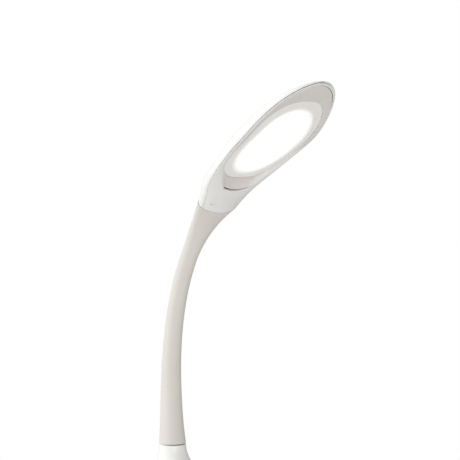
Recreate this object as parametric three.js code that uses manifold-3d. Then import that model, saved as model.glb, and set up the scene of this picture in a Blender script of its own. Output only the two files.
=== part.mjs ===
// A clip-on reading lamp: a spring clip with a battery inside, a gooseneck in a silicone sleeve,
// and a long oval head with a glowing diffuser on its underside.
// Millimetres, +Z up. The lamp is symmetric about y = 0 and its head reaches towards +X.
// The origin is the middle of the upper jaw pad's flat face, which rests on the shelf it clips to.

import * as THREE from "three";
import { mergeVertices } from "three/addons/utils/BufferGeometryUtils.js";
import Module from "manifold-3d";

const wasm = await Module();
wasm.setup();

// ---- driving dimensions ----

const GAP = 0.3; // clearance between neighbouring pieces

// Clip housing
const NECK_X = -42; // neck axis at the collar
const COLLAR_TOP = 60; // height of the collar's rim above the pad face
const COLLAR_RADIUS = 12.15;
const COLLAR_SPREAD = 0.0145; // the collar's trumpet: radius grows with the square of the depth
const COLLAR_LEAN = 0.0089; // and its centre moves forward in the same way
const HOUSING_MID_X = -33;
const HOUSING_LENGTH = 110;
const HOUSING_WIDTH = 52;
const HOUSING_TOP = 27;
const FLOOR_UNDERSIDE = 3;
const FLOOR_THICKNESS = 2.4;
const WALL = 2.2;
const SCREW_INSET_X = 9;
const SCREW_INSET_Y = 9;

// Jaw
const PAD_LENGTH = 40;
const PAD_WIDTH = 44;
const PAD_THICKNESS = 2.6;
const JAW_GAP = 2.2; // the jaw's stop leaves this between the pads
const HINGE_X = -50;
const HINGE_Z = -3.2;
const PIN_RADIUS = 2;
const PIN_LENGTH = 38;
const LUG_RADIUS = 5.2;
const JAW_WIDTH = 48;

// Neck
const NECK_LENGTH = 237; // along the centreline, from the collar to the head
const NECK_START_ANGLE = -3.5; // degrees from vertical, towards +X
const NECK_END_ANGLE = 55.5;
const NECK_ANGLE_POWER = 1.8;
const PIVOTS = 8;
const CORE_RADIUS = 5;
const CORE_BORE = 2.6;
const WIRE_RADIUS = 1.6;
const BALL_MARGIN = 0.6; // each ball joint's radius is this much over the sleeve's
const END_GAP = 1; // the sleeve's clearance to the collar and to the head

// Neck sleeve: a slim middle, a taper and a short flare down to the collar, a flare into the head
const SLEEVE_RADIUS = 7.4;
const SLEEVE_TAPER = 3.95;
const SLEEVE_FOOT_FLARE = COLLAR_RADIUS - SLEEVE_RADIUS - SLEEVE_TAPER;
const SLEEVE_HEAD_FLARE = 4.4;
const SLEEVE_FLARE_START = 0.68; // share of the neck's length

// Head, in its own frame: x from the neck to the tip, z towards the top shell
const HEAD_ANGLE = 52; // degrees from vertical
const HEAD_START = -3;
const HEAD_TIP = 167.2;
const HEAD_WIDEST = 95.4;
const HEAD_HALF_WIDTH = 39;
const HEAD_NECK_HALF_WIDTH = 21;
const PLAN_POWER = 1.6; // how the plan widens from the neck
const PARTING_HEIGHT = [[-3, -1.4], [25, 1.9], [50, 0.8], [75, -1.4], [100, -3.6], [130, -2.8], [168, -1.8]];
const SECTION_RISE = [[-3, 3.5], [20, 4.5], [45, 1.2], [75, 0.65]]; // its middle over the parting line
const TOP_HEIGHT = [[-3, 9.7], [25, 10.2], [55, 11.4], [85, 13.5], [115, 11], [145, 6.3], [168, 0]];
const UNDERSIDE_DEPTH = [[-3, 6.1], [12, 6], [26, 5.6], [42, 3.5], [60, 2.2], [168, 1.8]];
const SHELL_WALL = 1.8;
const RIM = 2.5; // width of the cover's lip round the bezel
const BEZEL_START = 24.5;
const BEZEL_END = 163.2;
const BEZEL_ROUND = 46; // the bezel's neck end is rounded up to here
const BEZEL_DEPTH = 1.9; // below the parting line
const BEZEL_THICKNESS = 1.3;
const DIFFUSER_MID = 91;
const DIFFUSER_HALF_LENGTH = 54.5;
const DIFFUSER_HALF_WIDTH = 33.4;
const DIFFUSER_DEPTH = 1.5;
const DIFFUSER_POWER = 2.5;
const FLANGE = 1.2; // the diffuser's flange lies this far over the bezel
const BOARD_MID = 88.4;
const BOARD_HEIGHT = 2.8;
const BOARD_HALF_LENGTH = 36;
const BOARD_HALF_WIDTH = 24;

// ---- materials ----

const finish = (color, roughness, metalness = 0) =>
  new THREE.MeshStandardMaterial({ color, roughness, metalness });
const glossWhite = finish(0xf4f4f2, 0.25);
const satinWhite = finish(0xe4e3e1, 0.45);
const bezelGrey = finish(0xcdc9c5, 0.5);
const opal = finish(0xfffff8, 0.35);
const silicone = finish(0xddd8d0, 0.75);
const padRubber = finish(0x8f8f8c, 0.85);
const steel = finish(0xb8babd, 0.3, 1);
const springSteel = finish(0x8c8f93, 0.35, 1);
const aluminium = finish(0xc9cbcc, 0.45, 1);
const boardWhite = finish(0xf2f2ec, 0.5);
const boardGreen = finish(0x2f6b45, 0.5);
const cellBlue = finish(0x3b6ea8, 0.4);
const wireRed = finish(0xa83232, 0.5);

// ---- solids ----

const radians = THREE.MathUtils.degToRad;

// A three.js geometry as a manifold solid, with its faces turned outwards.
function solid(geometry) {
  const plain = geometry.clone();
  plain.deleteAttribute("normal");
  plain.deleteAttribute("uv");
  const welded = mergeVertices(plain, 1e-4);
  const position = welded.attributes.position;
  const corners = [];
  for (let i = 0; i < welded.index.count; i += 3) {
    const [a, b, c] = [0, 1, 2].map((k) => welded.index.getX(i + k));
    if (a !== b && b !== c && c !== a) corners.push(a, b, c);
  }
  const point = (i) => new THREE.Vector3().fromBufferAttribute(position, i);
  let volume = 0;
  for (let i = 0; i < corners.length; i += 3) {
    volume += point(corners[i]).dot(point(corners[i + 1]).cross(point(corners[i + 2])));
  }
  if (volume < 0) corners.reverse();
  return new wasm.Manifold(
    new wasm.Mesh({
      numProp: 3,
      vertProperties: new Float32Array(position.array),
      triVerts: new Uint32Array(corners),
    }),
  );
}

function geometryOf(body) {
  const mesh = body.getMesh();
  const geometry = new THREE.BufferGeometry();
  geometry.setAttribute("position", new THREE.BufferAttribute(mesh.vertProperties, 3));
  geometry.setIndex(new THREE.BufferAttribute(mesh.triVerts, 1));
  geometry.computeVertexNormals();
  return geometry;
}

function place(parent, name, body, material) {
  const mesh = new THREE.Mesh(geometryOf(body), material);
  mesh.name = name;
  parent.add(mesh);
  return mesh;
}

// Rings of equal point counts, skinned one to the next and capped at both ends.
function loft(rings) {
  const count = rings[0].length;
  const points = rings.flat();
  const index = [];
  for (let r = 0; r + 1 < rings.length; r++) {
    for (let i = 0; i < count; i++) {
      const a = r * count + i;
      const b = r * count + ((i + 1) % count);
      index.push(a, b, b + count, a, b + count, a + count);
    }
  }
  const last = (rings.length - 1) * count;
  for (let i = 1; i + 1 < count; i++) {
    index.push(0, i + 1, i);
    index.push(last, last + i, last + i + 1);
  }
  const geometry = new THREE.BufferGeometry().setFromPoints(points);
  geometry.setIndex(index);
  return solid(geometry);
}

function box(sizeX, sizeY, sizeZ, x, y, z) {
  return solid(new THREE.BoxGeometry(sizeX, sizeY, sizeZ).translate(x, y, z));
}

// An upright cylinder from height z0 to z1.
function post(radius, x, y, z0, z1, sides = 16) {
  const geometry = new THREE.CylinderGeometry(radius, radius, z1 - z0, sides);
  return solid(geometry.rotateX(Math.PI / 2).translate(x, y, (z0 + z1) / 2));
}

// A cylinder along Y from y0 to y1.
function axle(radius, x, z, y0, y1, sides = 20) {
  const geometry = new THREE.CylinderGeometry(radius, radius, y1 - y0, sides);
  return solid(geometry.translate(x, (y0 + y1) / 2, z));
}

// A solid of revolution about Z from a profile of [radius, height] pairs that closes on itself
// or starts and ends on the axis.
function turned(profile, sides) {
  const points = profile.map(([r, z]) => new THREE.Vector2(r, z));
  return solid(new THREE.LatheGeometry(points, sides).rotateX(Math.PI / 2));
}

// A rounded rectangle extruded upwards from z0.
function plate(sizeX, sizeY, radius, z0, height, x, y = 0, steps = 4) {
  const shape = new THREE.Shape();
  const [hx, hy] = [sizeX / 2, sizeY / 2];
  shape.moveTo(-hx + radius, -hy);
  shape.absarc(hx - radius, -hy + radius, radius, -Math.PI / 2, 0);
  shape.absarc(hx - radius, hy - radius, radius, 0, Math.PI / 2);
  shape.absarc(-hx + radius, hy - radius, radius, Math.PI / 2, Math.PI);
  shape.absarc(-hx + radius, -hy + radius, radius, Math.PI, Math.PI * 1.5);
  const geometry = new THREE.ExtrudeGeometry(shape, {
    depth: height,
    bevelEnabled: false,
    curveSegments: steps,
  });
  return solid(geometry.translate(x, y, z0));
}

// A side outline of [x, z] points, extruded across Y between y0 and y1.
function slab(outline, y0, y1) {
  const shape = new THREE.Shape(outline.map(([x, z]) => new THREE.Vector2(x, z)));
  const geometry = new THREE.ExtrudeGeometry(shape, { depth: y1 - y0, bevelEnabled: false });
  return solid(geometry.rotateX(Math.PI / 2).translate(0, y1, 0));
}

const root = new THREE.Group();

// ---- clip housing ----

// One level of the housing: a superellipse in plan.
function housingRing(z, inset) {
  const ring = [];
  const sides = 36;
  for (let i = 0; i < sides; i++) {
    const t = (i / sides) * Math.PI * 2;
    const squash = (v) => Math.sign(v) * Math.abs(v) ** (2 / 2.8);
    ring.push(
      new THREE.Vector3(
        HOUSING_MID_X + (HOUSING_LENGTH / 2 - inset) * squash(Math.cos(t)),
        (HOUSING_WIDTH / 2 - inset) * squash(Math.sin(t)),
        z,
      ),
    );
  }
  return ring;
}

// The housing's body below the collar: straight sides, then a rounded shoulder.
function housingBody(inset, bottom) {
  const shoulder = 12;
  const rings = [housingRing(bottom, inset + 1), housingRing(bottom + 2, inset)];
  for (let i = 0; i <= 4; i++) {
    const t = (i / 4) * Math.PI * 0.5;
    const z = HOUSING_TOP - inset - shoulder + shoulder * Math.sin(t);
    rings.push(housingRing(z, inset + shoulder * (1 - Math.cos(t)), 0));
  }
  return loft(rings);
}

function collarRadius(depth) {
  return COLLAR_RADIUS + COLLAR_SPREAD * depth * depth;
}

// The trumpet, from depth0 below the collar's rim down to depth1.
function collarBody(depth0, depth1, inset, sides = 28) {
  const rings = [];
  const steps = 6;
  for (let k = 0; k <= steps; k++) {
    const depth = depth0 + ((depth1 - depth0) * k) / steps;
    const radius = collarRadius(depth) - inset;
    const centre = NECK_X + COLLAR_LEAN * depth * depth;
    const ring = [];
    for (let i = 0; i < sides; i++) {
      const t = (i / sides) * Math.PI * 2;
      ring.push(
        new THREE.Vector3(
          centre + radius * Math.cos(t),
          radius * Math.sin(t),
          COLLAR_TOP - depth,
        ),
      );
    }
    rings.push(ring);
  }
  return loft(rings);
}

const CAVITY_ROOF = 12; // solid plug under the collar's rim
const FERRULE_RADIUS = 6;
const HOUSING_BOTTOM = FLOOR_UNDERSIDE + FLOOR_THICKNESS + GAP;
const BUTTON_X = 2;
const BUTTON_RADIUS = 6.5;
const BUTTON_TRAVEL = 0.8;
const SOCKET_Z = 11;
const REAR_X = HOUSING_MID_X - HOUSING_LENGTH / 2;
const FRONT_X = HOUSING_MID_X + HOUSING_LENGTH / 2;
const screwSpots = [
  [REAR_X + SCREW_INSET_X + 3, HOUSING_WIDTH / 2 - SCREW_INSET_Y],
  [REAR_X + SCREW_INSET_X + 3, -HOUSING_WIDTH / 2 + SCREW_INSET_Y],
  [FRONT_X - SCREW_INSET_X, HOUSING_WIDTH / 2 - SCREW_INSET_Y - 3],
  [FRONT_X - SCREW_INSET_X, -HOUSING_WIDTH / 2 + SCREW_INSET_Y + 3],
];
const BOSS_RADIUS = 3.4;
const SCREW_RADIUS = 1.3;
const SCREW_HEAD_RADIUS = 2.4;
const SCREW_HEAD_HEIGHT = 1.4;
const SCREW_TOP = 13;

function upperHousing() {
  const collarDepth = COLLAR_TOP - HOUSING_TOP + 8;
  const column = loft([housingRing(HOUSING_TOP - 20, 0.4), housingRing(COLLAR_TOP + 9, 0.4)]);
  const outside = housingBody(0, HOUSING_BOTTOM).add(collarBody(0, collarDepth, 0).intersect(column));
  let body = outside;
  const cavity = housingBody(WALL, HOUSING_BOTTOM - 1);
  const inner = loft([housingRing(0, WALL), housingRing(COLLAR_TOP + 9, WALL)]);
  const throat = collarBody(CAVITY_ROOF, collarDepth, WALL + 0.6).intersect(inner);
  body = body.subtract(cavity).subtract(throat);
  for (const [x, y] of screwSpots) {
    body = body.add(post(BOSS_RADIUS, x, y, HOUSING_BOTTOM, HOUSING_TOP - 5, 12));
    body = body.subtract(post(SCREW_RADIUS + GAP, x, y, 0, SCREW_TOP + GAP, 10));
  }
  body = body.intersect(outside);
  body = body.subtract(post(FERRULE_RADIUS + GAP, NECK_X, 0, 30, COLLAR_TOP + 1));
  body = body.subtract(post(BUTTON_RADIUS + GAP, BUTTON_X, 0, 20, 40, 24));
  body = body.subtract(box(8, 9.8, 4, REAR_X + 2, 0, SOCKET_Z));
  return body.subtract(post(1.4, BUTTON_X - 15, 0, 20, 40, 10));
}
place(root, "upper_housing", upperHousing(), glossWhite);

// Ears of the hinge, one on each side, hanging from a plate.
function lug(y0, y1, reach) {
  const ear = axle(LUG_RADIUS, HINGE_X, HINGE_Z, y0, y1);
  const [middle, height] = [(y0 + y1) / 2, HINGE_Z + reach / 2];
  return ear.add(box(LUG_RADIUS * 2, y1 - y0, Math.abs(reach), HINGE_X, middle, height));
}

const FLOOR_LUG = [14, 18];
const JAW_LUG = [9, 13.6];

function housingFloor() {
  let body = loft([
    housingRing(FLOOR_UNDERSIDE, 1.6),
    housingRing(FLOOR_UNDERSIDE + 1, 0.6),
    housingRing(FLOOR_UNDERSIDE + FLOOR_THICKNESS, 0.6),
  ]);
  const reach = FLOOR_UNDERSIDE + 1 - HINGE_Z;
  body = body.add(lug(FLOOR_LUG[0], FLOOR_LUG[1], reach));
  body = body.add(lug(-FLOOR_LUG[1], -FLOOR_LUG[0], reach));
  body = body.subtract(axle(PIN_RADIUS + 0.05, HINGE_X, HINGE_Z, -30, 30));
  for (const [x, y] of screwSpots) {
    body = body.subtract(post(SCREW_RADIUS + GAP, x, y, 0, 20, 10));
    body = body.subtract(
      post(SCREW_HEAD_RADIUS + GAP, x, y, 0, FLOOR_UNDERSIDE + SCREW_HEAD_HEIGHT, 12),
    );
  }
  return body;
}
place(root, "housing_floor", housingFloor(), satinWhite);

screwSpots.forEach(([x, y], i) => {
  const z = FLOOR_UNDERSIDE + 0.1;
  const head = SCREW_HEAD_HEIGHT - 0.4;
  const profile = [
    [0, z],
    [SCREW_HEAD_RADIUS, z],
    [SCREW_HEAD_RADIUS, z + head],
    [SCREW_RADIUS, z + head],
    [SCREW_RADIUS, SCREW_TOP],
    [0, SCREW_TOP],
  ];
  const screw = turned(profile, 10).translate([x, y, 0]);
  place(root, "floor_screw_" + (i + 1), screw, steel);
});

// A rubber pad, trimmed to the rounded end of the housing and the jaw.
function pad(z) {
  const outline = loft([housingRing(z - 1, 3), housingRing(z + PAD_THICKNESS + 1, 3)]);
  return plate(PAD_LENGTH, PAD_WIDTH, 4, z, PAD_THICKNESS, 0).intersect(outline);
}
place(root, "upper_pad", pad(0), padRubber);

// ---- electrics in the clip ----

const INSIDE_FLOOR = FLOOR_UNDERSIDE + FLOOR_THICKNESS + GAP;
const CELL_THICKNESS = 8;
place(
  root,
  "battery_cell",
  plate(44, 30, 4, INSIDE_FLOOR, CELL_THICKNESS, -14, 0, 3),
  cellBlue,
);

const BOARD_Z = 15.2;
function controlBoard() {
  const board = plate(58, 30, 2, BOARD_Z, 1.2, -20.5, 0, 2);
  const switchBody = box(6, 6, 3, BUTTON_X, 0, BOARD_Z + 1.2 + 1.4);
  const chip = box(9, 9, 1.6, -30, 0, BOARD_Z + 1.9);
  return board.add(switchBody).add(chip);
}
place(root, "control_board", controlBoard(), boardGreen);

function chargingSocket() {
  const outer = box(8, 9.2, 3.4, REAR_X + 5, 0, SOCKET_Z);
  return outer.subtract(box(8, 8.4, 2.6, REAR_X + 4, 0, SOCKET_Z));
}
place(root, "charging_socket", chargingSocket(), steel);

place(
  root,
  "indicator_lens",
  post(1.1, BUTTON_X - 15, 0, BOARD_Z + 4, HOUSING_TOP + 0.2, 10),
  opal,
);

const button = turned(
  [
    [0, 20.2],
    [BUTTON_RADIUS - 2, 20.2],
    [BUTTON_RADIUS, 21.4],
    [BUTTON_RADIUS, HOUSING_TOP + 0.9],
    [BUTTON_RADIUS - 1.2, HOUSING_TOP + 1.8],
    [0, HOUSING_TOP + 1.5],
  ],
  24,
);
place(root, "power_button", button.translate([BUTTON_X, 0, 0]), satinWhite);

// ---- jaw ----

const hingePin = axle(PIN_RADIUS, HINGE_X, HINGE_Z, -PIN_LENGTH / 2, PIN_LENGTH / 2, 16);
place(root, "hinge_pin", hingePin, steel);

// The torsion spring: a coil round the pin, one leg under the floor and one on the jaw's handle.
const SPRING_RADIUS = 3.6;
const SPRING_WIRE = 0.7;
const SPRING_WIDTH = 10;
const SPRING_LEG = 16;
const SPRING_START = radians(85);
const SPRING_END = radians(-75 - 3 * 360);

function springPoint(angle, y) {
  return new THREE.Vector3(
    HINGE_X + SPRING_RADIUS * Math.cos(angle),
    y,
    HINGE_Z + SPRING_RADIUS * Math.sin(angle),
  );
}

class SpringCoil extends THREE.Curve {
  getPoint(u) {
    const angle = SPRING_START + (SPRING_END - SPRING_START) * u;
    return springPoint(angle, SPRING_WIDTH * (u - 0.5));
  }
}

function torsionSpring() {
  const legFrom = (angle, y) => {
    const foot = springPoint(angle, y);
    const side = Math.sign(Math.sin(angle));
    const along = new THREE.Vector3(-Math.sin(angle) * side, 0, Math.cos(angle) * side);
    return [foot, foot.clone().addScaledVector(along, SPRING_LEG)];
  };
  const [start, upperTip] = legFrom(SPRING_START, -SPRING_WIDTH / 2);
  const [end, lowerTip] = legFrom(SPRING_END, SPRING_WIDTH / 2);
  const path = new THREE.CurvePath();
  path.add(new THREE.LineCurve3(upperTip, start));
  path.add(new SpringCoil());
  path.add(new THREE.LineCurve3(end, lowerTip));
  const section = new THREE.Shape().absarc(0, 0, SPRING_WIRE, 0, Math.PI * 2);
  const options = { steps: 60, curveSegments: 3, bevelEnabled: false, extrudePath: path };
  return solid(new THREE.ExtrudeGeometry(section, options));
}
place(root, "torsion_spring", torsionSpring(), springSteel);

const jaw = new THREE.Group();
root.add(jaw);

const JAW_TOP = -JAW_GAP - PAD_THICKNESS - GAP;
function lowerJaw() {
  const outline = [
    [FRONT_X, JAW_TOP - 1.5],
    [FRONT_X - 1.5, JAW_TOP],
    [HINGE_X - 2, JAW_TOP],
    [REAR_X + 1, HINGE_Z - 20.5],
    [REAR_X, HINGE_Z - 22],
    [REAR_X + 2.5, HINGE_Z - 25.2],
    [REAR_X + 6, HINGE_Z - 24.6],
    [HINGE_X - 8, HINGE_Z - 10.5],
    [HINGE_X, HINGE_Z - 9],
    [HINGE_X + 14, HINGE_Z - 8],
    [FRONT_X - 3, JAW_TOP - 4.5],
    [FRONT_X - 0.8, JAW_TOP - 3.6],
  ];
  let body = slab(outline, -JAW_WIDTH / 2, JAW_WIDTH / 2);
  // plan shape: the same rounded outline as the housing
  body = body.intersect(loft([housingRing(-40, 1.5), housingRing(2, 1.5)]));
  // room for the floor's ears and for the spring
  for (const side of [-1, 1]) {
    const [inner, outer] = [FLOOR_LUG[0] - GAP, FLOOR_LUG[1] + GAP];
    const y0 = Math.min(side * inner, side * outer);
    const y1 = Math.max(side * inner, side * outer);
    body = body.subtract(axle(LUG_RADIUS + 0.5, HINGE_X, HINGE_Z, y0, y1));
  }
  body = body.subtract(axle(LUG_RADIUS + 0.9, HINGE_X, HINGE_Z, -JAW_LUG[0], JAW_LUG[0]));
  const springBay = [
    [HINGE_X + 3, 5],
    [HINGE_X - 17, 5],
    [HINGE_X - 17, HINGE_Z - 9.2],
    [HINGE_X + 3, HINGE_Z - 5.4],
  ];
  body = body.subtract(slab(springBay, -JAW_LUG[0], JAW_LUG[0]));
  body = body.add(lug(JAW_LUG[0], JAW_LUG[1], -7));
  body = body.add(lug(-JAW_LUG[1], -JAW_LUG[0], -7));
  return body.subtract(axle(PIN_RADIUS + 0.1, HINGE_X, HINGE_Z, -30, 30));
}
place(jaw, "lower_jaw", lowerJaw(), glossWhite);
place(jaw, "lower_pad", pad(-JAW_GAP - PAD_THICKNESS), padRubber);

// ---- neck ----

function neckAngle(s) {
  const bend = (s / NECK_LENGTH) ** NECK_ANGLE_POWER;
  return radians(NECK_START_ANGLE + (NECK_END_ANGLE - NECK_START_ANGLE) * bend);
}

// A point of the neck's centreline, s along it from the collar.
function neckPoint(s) {
  const steps = 60;
  const point = new THREE.Vector3(NECK_X, 0, COLLAR_TOP);
  for (let i = 0; i < steps; i++) {
    const angle = neckAngle((s * (i + 0.5)) / steps);
    point.x += (Math.sin(angle) * s) / steps;
    point.z += (Math.cos(angle) * s) / steps;
  }
  return point;
}

// The sleeve's radius: it narrows upwards from the collar and widens again into the head.
function neckRadius(s) {
  const t = s / NECK_LENGTH;
  const foot = SLEEVE_TAPER * (1 - t) ** 3.2 + SLEEVE_FOOT_FLARE * (1 - t) ** 18;
  const end = Math.max(0, (t - SLEEVE_FLARE_START) / (1 - SLEEVE_FLARE_START));
  return SLEEVE_RADIUS + foot + SLEEVE_HEAD_FLARE * end ** 1.7;
}

const pivotAt = (k) => (NECK_LENGTH * (k - 0.5)) / PIVOTS;
const stations = [0];
for (let k = 1; k <= PIVOTS; k++) stations.push(pivotAt(k));
stations.push(NECK_LENGTH);

// Points of a quarter-like arc of a ball of this radius about height z, between two radii.
function ballArc(radius, z, from, to, steps) {
  const arc = [];
  for (let i = 0; i <= steps; i++) {
    const r = from + ((to - from) * i) / steps;
    arc.push([r, z + Math.sqrt(radius * radius - r * r)]);
  }
  return arc;
}

// A length of tube or rod between two ball joints: a cup at its foot and a dome at its head.
function link(k, inner, outer0, outer1, sides, steps) {
  const length = neckPoint(stations[k]).distanceTo(neckPoint(stations[k + 1]));
  const cup = neckRadius(stations[k]) + BALL_MARGIN + GAP;
  const dome = neckRadius(stations[k + 1]) + BALL_MARGIN;
  const foot =
    k === 0
      ? [[inner, END_GAP], [outer0, END_GAP]]
      : ballArc(cup, 0, inner, outer0, steps);
  const head =
    k === PIVOTS
      ? [[outer1, length - END_GAP], [inner, length - END_GAP]]
      : ballArc(dome, length, outer1, inner, steps);
  const profile = [...foot, ...head];
  if (inner > 0) profile.push(profile[0]);
  return turned(profile, sides);
}

// The sleeve's last length opens from round to the head's flat oval.
function lastSleeve(bore) {
  const length = neckPoint(stations[PIVOTS]).distanceTo(neckPoint(NECK_LENGTH)) - END_GAP;
  const radius = neckRadius(stations[PIVOTS]);
  const seam = headSection(HEAD_START, 0.4);
  const rings = [];
  for (let k = 0; k <= 4; k++) {
    const t = k / 4;
    const ring = [];
    for (let i = 0; i < 20; i++) {
      const a = (i / 20) * Math.PI * 2;
      const height = Math.cos(a) > 0 ? seam.down : seam.up;
      const end = Math.cos(a) * height - seam.middle;
      const x = radius * Math.cos(a) * (1 - t) + end * t;
      const y = (radius + (seam.width - radius) * t ** 1.3) * Math.sin(a);
      ring.push(new THREE.Vector3(x, y, t * length));
    }
    rings.push(ring);
  }
  const cup = solid(new THREE.SphereGeometry(radius + BALL_MARGIN + GAP, 24, 12));
  return loft(rings).subtract(cup).subtract(post(bore, 0, 0, -5, length + 5, 20));
}

for (let k = 0; k <= PIVOTS; k++) {
  const from = neckPoint(stations[k]);
  const to = neckPoint(stations[k + 1]);
  const group = new THREE.Group();
  group.position.copy(from);
  group.rotation.y = Math.atan2(to.x - from.x, to.z - from.z);
  root.add(group);
  const bore = CORE_RADIUS + GAP;
  const sleeve =
    k === PIVOTS
      ? lastSleeve(bore)
      : link(k, bore, neckRadius(stations[k]), neckRadius(stations[k + 1]), 20, 4);
  place(group, "neck_sleeve_" + k, sleeve, silicone);
  place(group, "neck_core_" + k, link(k, CORE_BORE, CORE_RADIUS, CORE_RADIUS, 14, 1), steel);
  place(group, "neck_wire_" + k, link(k, 0, WIRE_RADIUS, WIRE_RADIUS, 6, 1), wireRed);
}

// The lower ferrule is crimped on the core's foot and held by a nut under the collar.
const FERRULE_FOOT = COLLAR_TOP - 22;
place(
  root,
  "lower_ferrule",
  turned(
    [
      [CORE_BORE, FERRULE_FOOT],
      [FERRULE_RADIUS, FERRULE_FOOT],
      [FERRULE_RADIUS, COLLAR_TOP - GAP],
      [CORE_BORE, COLLAR_TOP - GAP],
      [CORE_BORE, FERRULE_FOOT],
    ],
    18,
  ).translate([NECK_X, 0, 0]),
  steel,
);
function hexRing(radius, bore, z0, z1) {
  return post(radius, 0, 0, z0, z1, 6).subtract(post(bore, 0, 0, z0 - 1, z1 + 1, 18));
}
const NUT_TOP = COLLAR_TOP - CAVITY_ROOF - GAP;
const ferruleNut = hexRing(8.6, FERRULE_RADIUS + 0.2, NUT_TOP - 5, NUT_TOP);
place(root, "ferrule_nut", ferruleNut.translate([NECK_X, 0, 0]), steel);

// ---- head ----

const head = new THREE.Group();
const neckEnd = neckPoint(NECK_LENGTH);
const headDirection = radians(HEAD_ANGLE);
head.position.copy(neckEnd);
head.position.x -= HEAD_START * Math.sin(headDirection);
head.position.z -= HEAD_START * Math.cos(headDirection);
head.rotation.y = headDirection - Math.PI / 2;
root.add(head);

function smooth(t) {
  const c = Math.min(1, Math.max(0, t));
  return c * c * (3 - 2 * c);
}

// A smooth curve through [x, value] knots, level beyond the first and the last.
function through(knots, x) {
  const last = knots.length - 1;
  if (x <= knots[0][0]) return knots[0][1];
  if (x >= knots[last][0]) return knots[last][1];
  const slope = (i) => {
    const [a, b] = [knots[Math.max(0, i - 1)], knots[Math.min(last, i + 1)]];
    return (b[1] - a[1]) / (b[0] - a[0]);
  };
  const i = knots.findIndex((knot) => knot[0] > x) - 1;
  const span = knots[i + 1][0] - knots[i][0];
  const t = (x - knots[i][0]) / span;
  const rise = smooth(t);
  const lean = t * (1 - t) * ((1 - t) * slope(i) - t * slope(i + 1));
  return knots[i][1] * (1 - rise) + knots[i + 1][1] * rise + span * lean;
}

// Height of the parting line between the top shell and the underside.
function parting(x) {
  return through(PARTING_HEIGHT, x);
}

// The plan's half-width: it widens from the neck, and its far end is half an ellipse.
function halfWidth(x) {
  if (x > HEAD_WIDEST) {
    const t = (x - HEAD_WIDEST) / (HEAD_TIP - HEAD_WIDEST);
    return HEAD_HALF_WIDTH * Math.sqrt(Math.max(0, 1 - t * t));
  }
  const t = (HEAD_WIDEST - x) / HEAD_WIDEST;
  return HEAD_HALF_WIDTH - (HEAD_HALF_WIDTH - HEAD_NECK_HALF_WIDTH) * t ** PLAN_POWER;
}

// One section of the head: its middle, and its reach sideways, up and down, less an inset.
function headSection(x, inset) {
  const rise = through(SECTION_RISE, x);
  return {
    middle: parting(x) + rise,
    width: Math.max(0.4, halfWidth(x) - inset),
    up: Math.max(0.2, through(TOP_HEIGHT, x) - inset),
    down: Math.max(0.2, through(UNDERSIDE_DEPTH, x) + rise - inset),
    power: 2 + 1.6 * smooth(x / 60),
  };
}

// The whole head as a solid of superelliptic sections, pulled in by inset.
function headBody(inset, start) {
  const end = HEAD_TIP - inset;
  const sides = 32;
  const rings = [];
  const stationsX = [start, 4, 12, 22, 34, 48, 64, 80, 96, 112, 126, 138, 148, 156, 162, 165, 166.6];
  for (const station of stationsX) {
    const x = Math.min(station, end - 0.3 * (HEAD_TIP - station) - 0.15);
    const section = headSection(x + inset * smooth((station - 130) / 30), inset);
    const ring = [];
    for (let i = 0; i < sides; i++) {
      const t = (i / sides) * Math.PI * 2;
      const round = (v) => Math.sign(v) * Math.abs(v) ** (2 / section.power);
      const height = Math.sin(t) > 0 ? section.up : section.down;
      const y = section.width * round(Math.cos(t));
      ring.push(new THREE.Vector3(x, y, section.middle + height * round(Math.sin(t))));
    }
    rings.push(ring);
  }
  return loft(rings);
}

// A slab that follows the parting line between two offsets. half gives its half-width at x.
function follow(stationsX, half, low, high) {
  const rings = stationsX.map((x) => [
    new THREE.Vector3(x, -half(x), parting(x) + low),
    new THREE.Vector3(x, half(x), parting(x) + low),
    new THREE.Vector3(x, half(x), parting(x) + high),
    new THREE.Vector3(x, -half(x), parting(x) + high),
  ]);
  return loft(rings);
}

// Stations from x0 to x1, close together at both ends.
function cosineStations(x0, x1, slices) {
  const list = [];
  for (let k = 0; k <= slices; k++) {
    const t = (1 - 0.997 * Math.cos((k / slices) * Math.PI)) / 2;
    list.push(x0 + (x1 - x0) * t);
  }
  return list;
}

// Everything between two offsets from the parting line.
function layer(low, high) {
  const stationsX = [];
  for (let x = -9; x <= HEAD_TIP + 6; x += 6) stationsX.push(x);
  return follow(stationsX, () => HEAD_HALF_WIDTH + 5, low, high);
}

// The diffuser's blunt oval, grown by margin.
function oval(margin, low, high) {
  const reach = DIFFUSER_HALF_LENGTH + margin;
  const half = (x) => {
    const t = Math.abs(x - DIFFUSER_MID) / reach;
    return (DIFFUSER_HALF_WIDTH + margin) * (1 - t ** DIFFUSER_POWER) ** (1 / DIFFUSER_POWER);
  };
  return follow(cosineStations(DIFFUSER_MID - reach, DIFFUSER_MID + reach, 18), half, low, high);
}

// The bezel's outline: it meets the cover's lip at the sides and ends in the crescent slit.
function bezelBlank(inset, low, high) {
  const [x0, x1] = [BEZEL_START + inset, BEZEL_END - inset];
  const half = (x) => {
    const side = halfWidth(Math.min(x, HEAD_WIDEST)) - RIM - inset;
    const toNeck = Math.max(0, (BEZEL_ROUND - x) / (BEZEL_ROUND - x0));
    const toTip = Math.max(0, (x - HEAD_WIDEST) / (x1 - HEAD_WIDEST));
    return side * Math.sqrt(1 - toNeck ** 2) * Math.sqrt(1 - toTip ** 2);
  };
  return follow(cosineStations(x0, x1, 22), half, low, high);
}

const HEAD_SCREW_X = 5.5;
const HEAD_SCREW_Y = 13.5;
const HEAD_SCREW_RADIUS = 0.8;
const CAP_LENGTH = 4.6;
const CAP_WIDTH = 2;
const CAP_DEPTH = 1;
const CLAMP_X = 3.6;
const STUD_RADIUS = 3.8;

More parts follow.
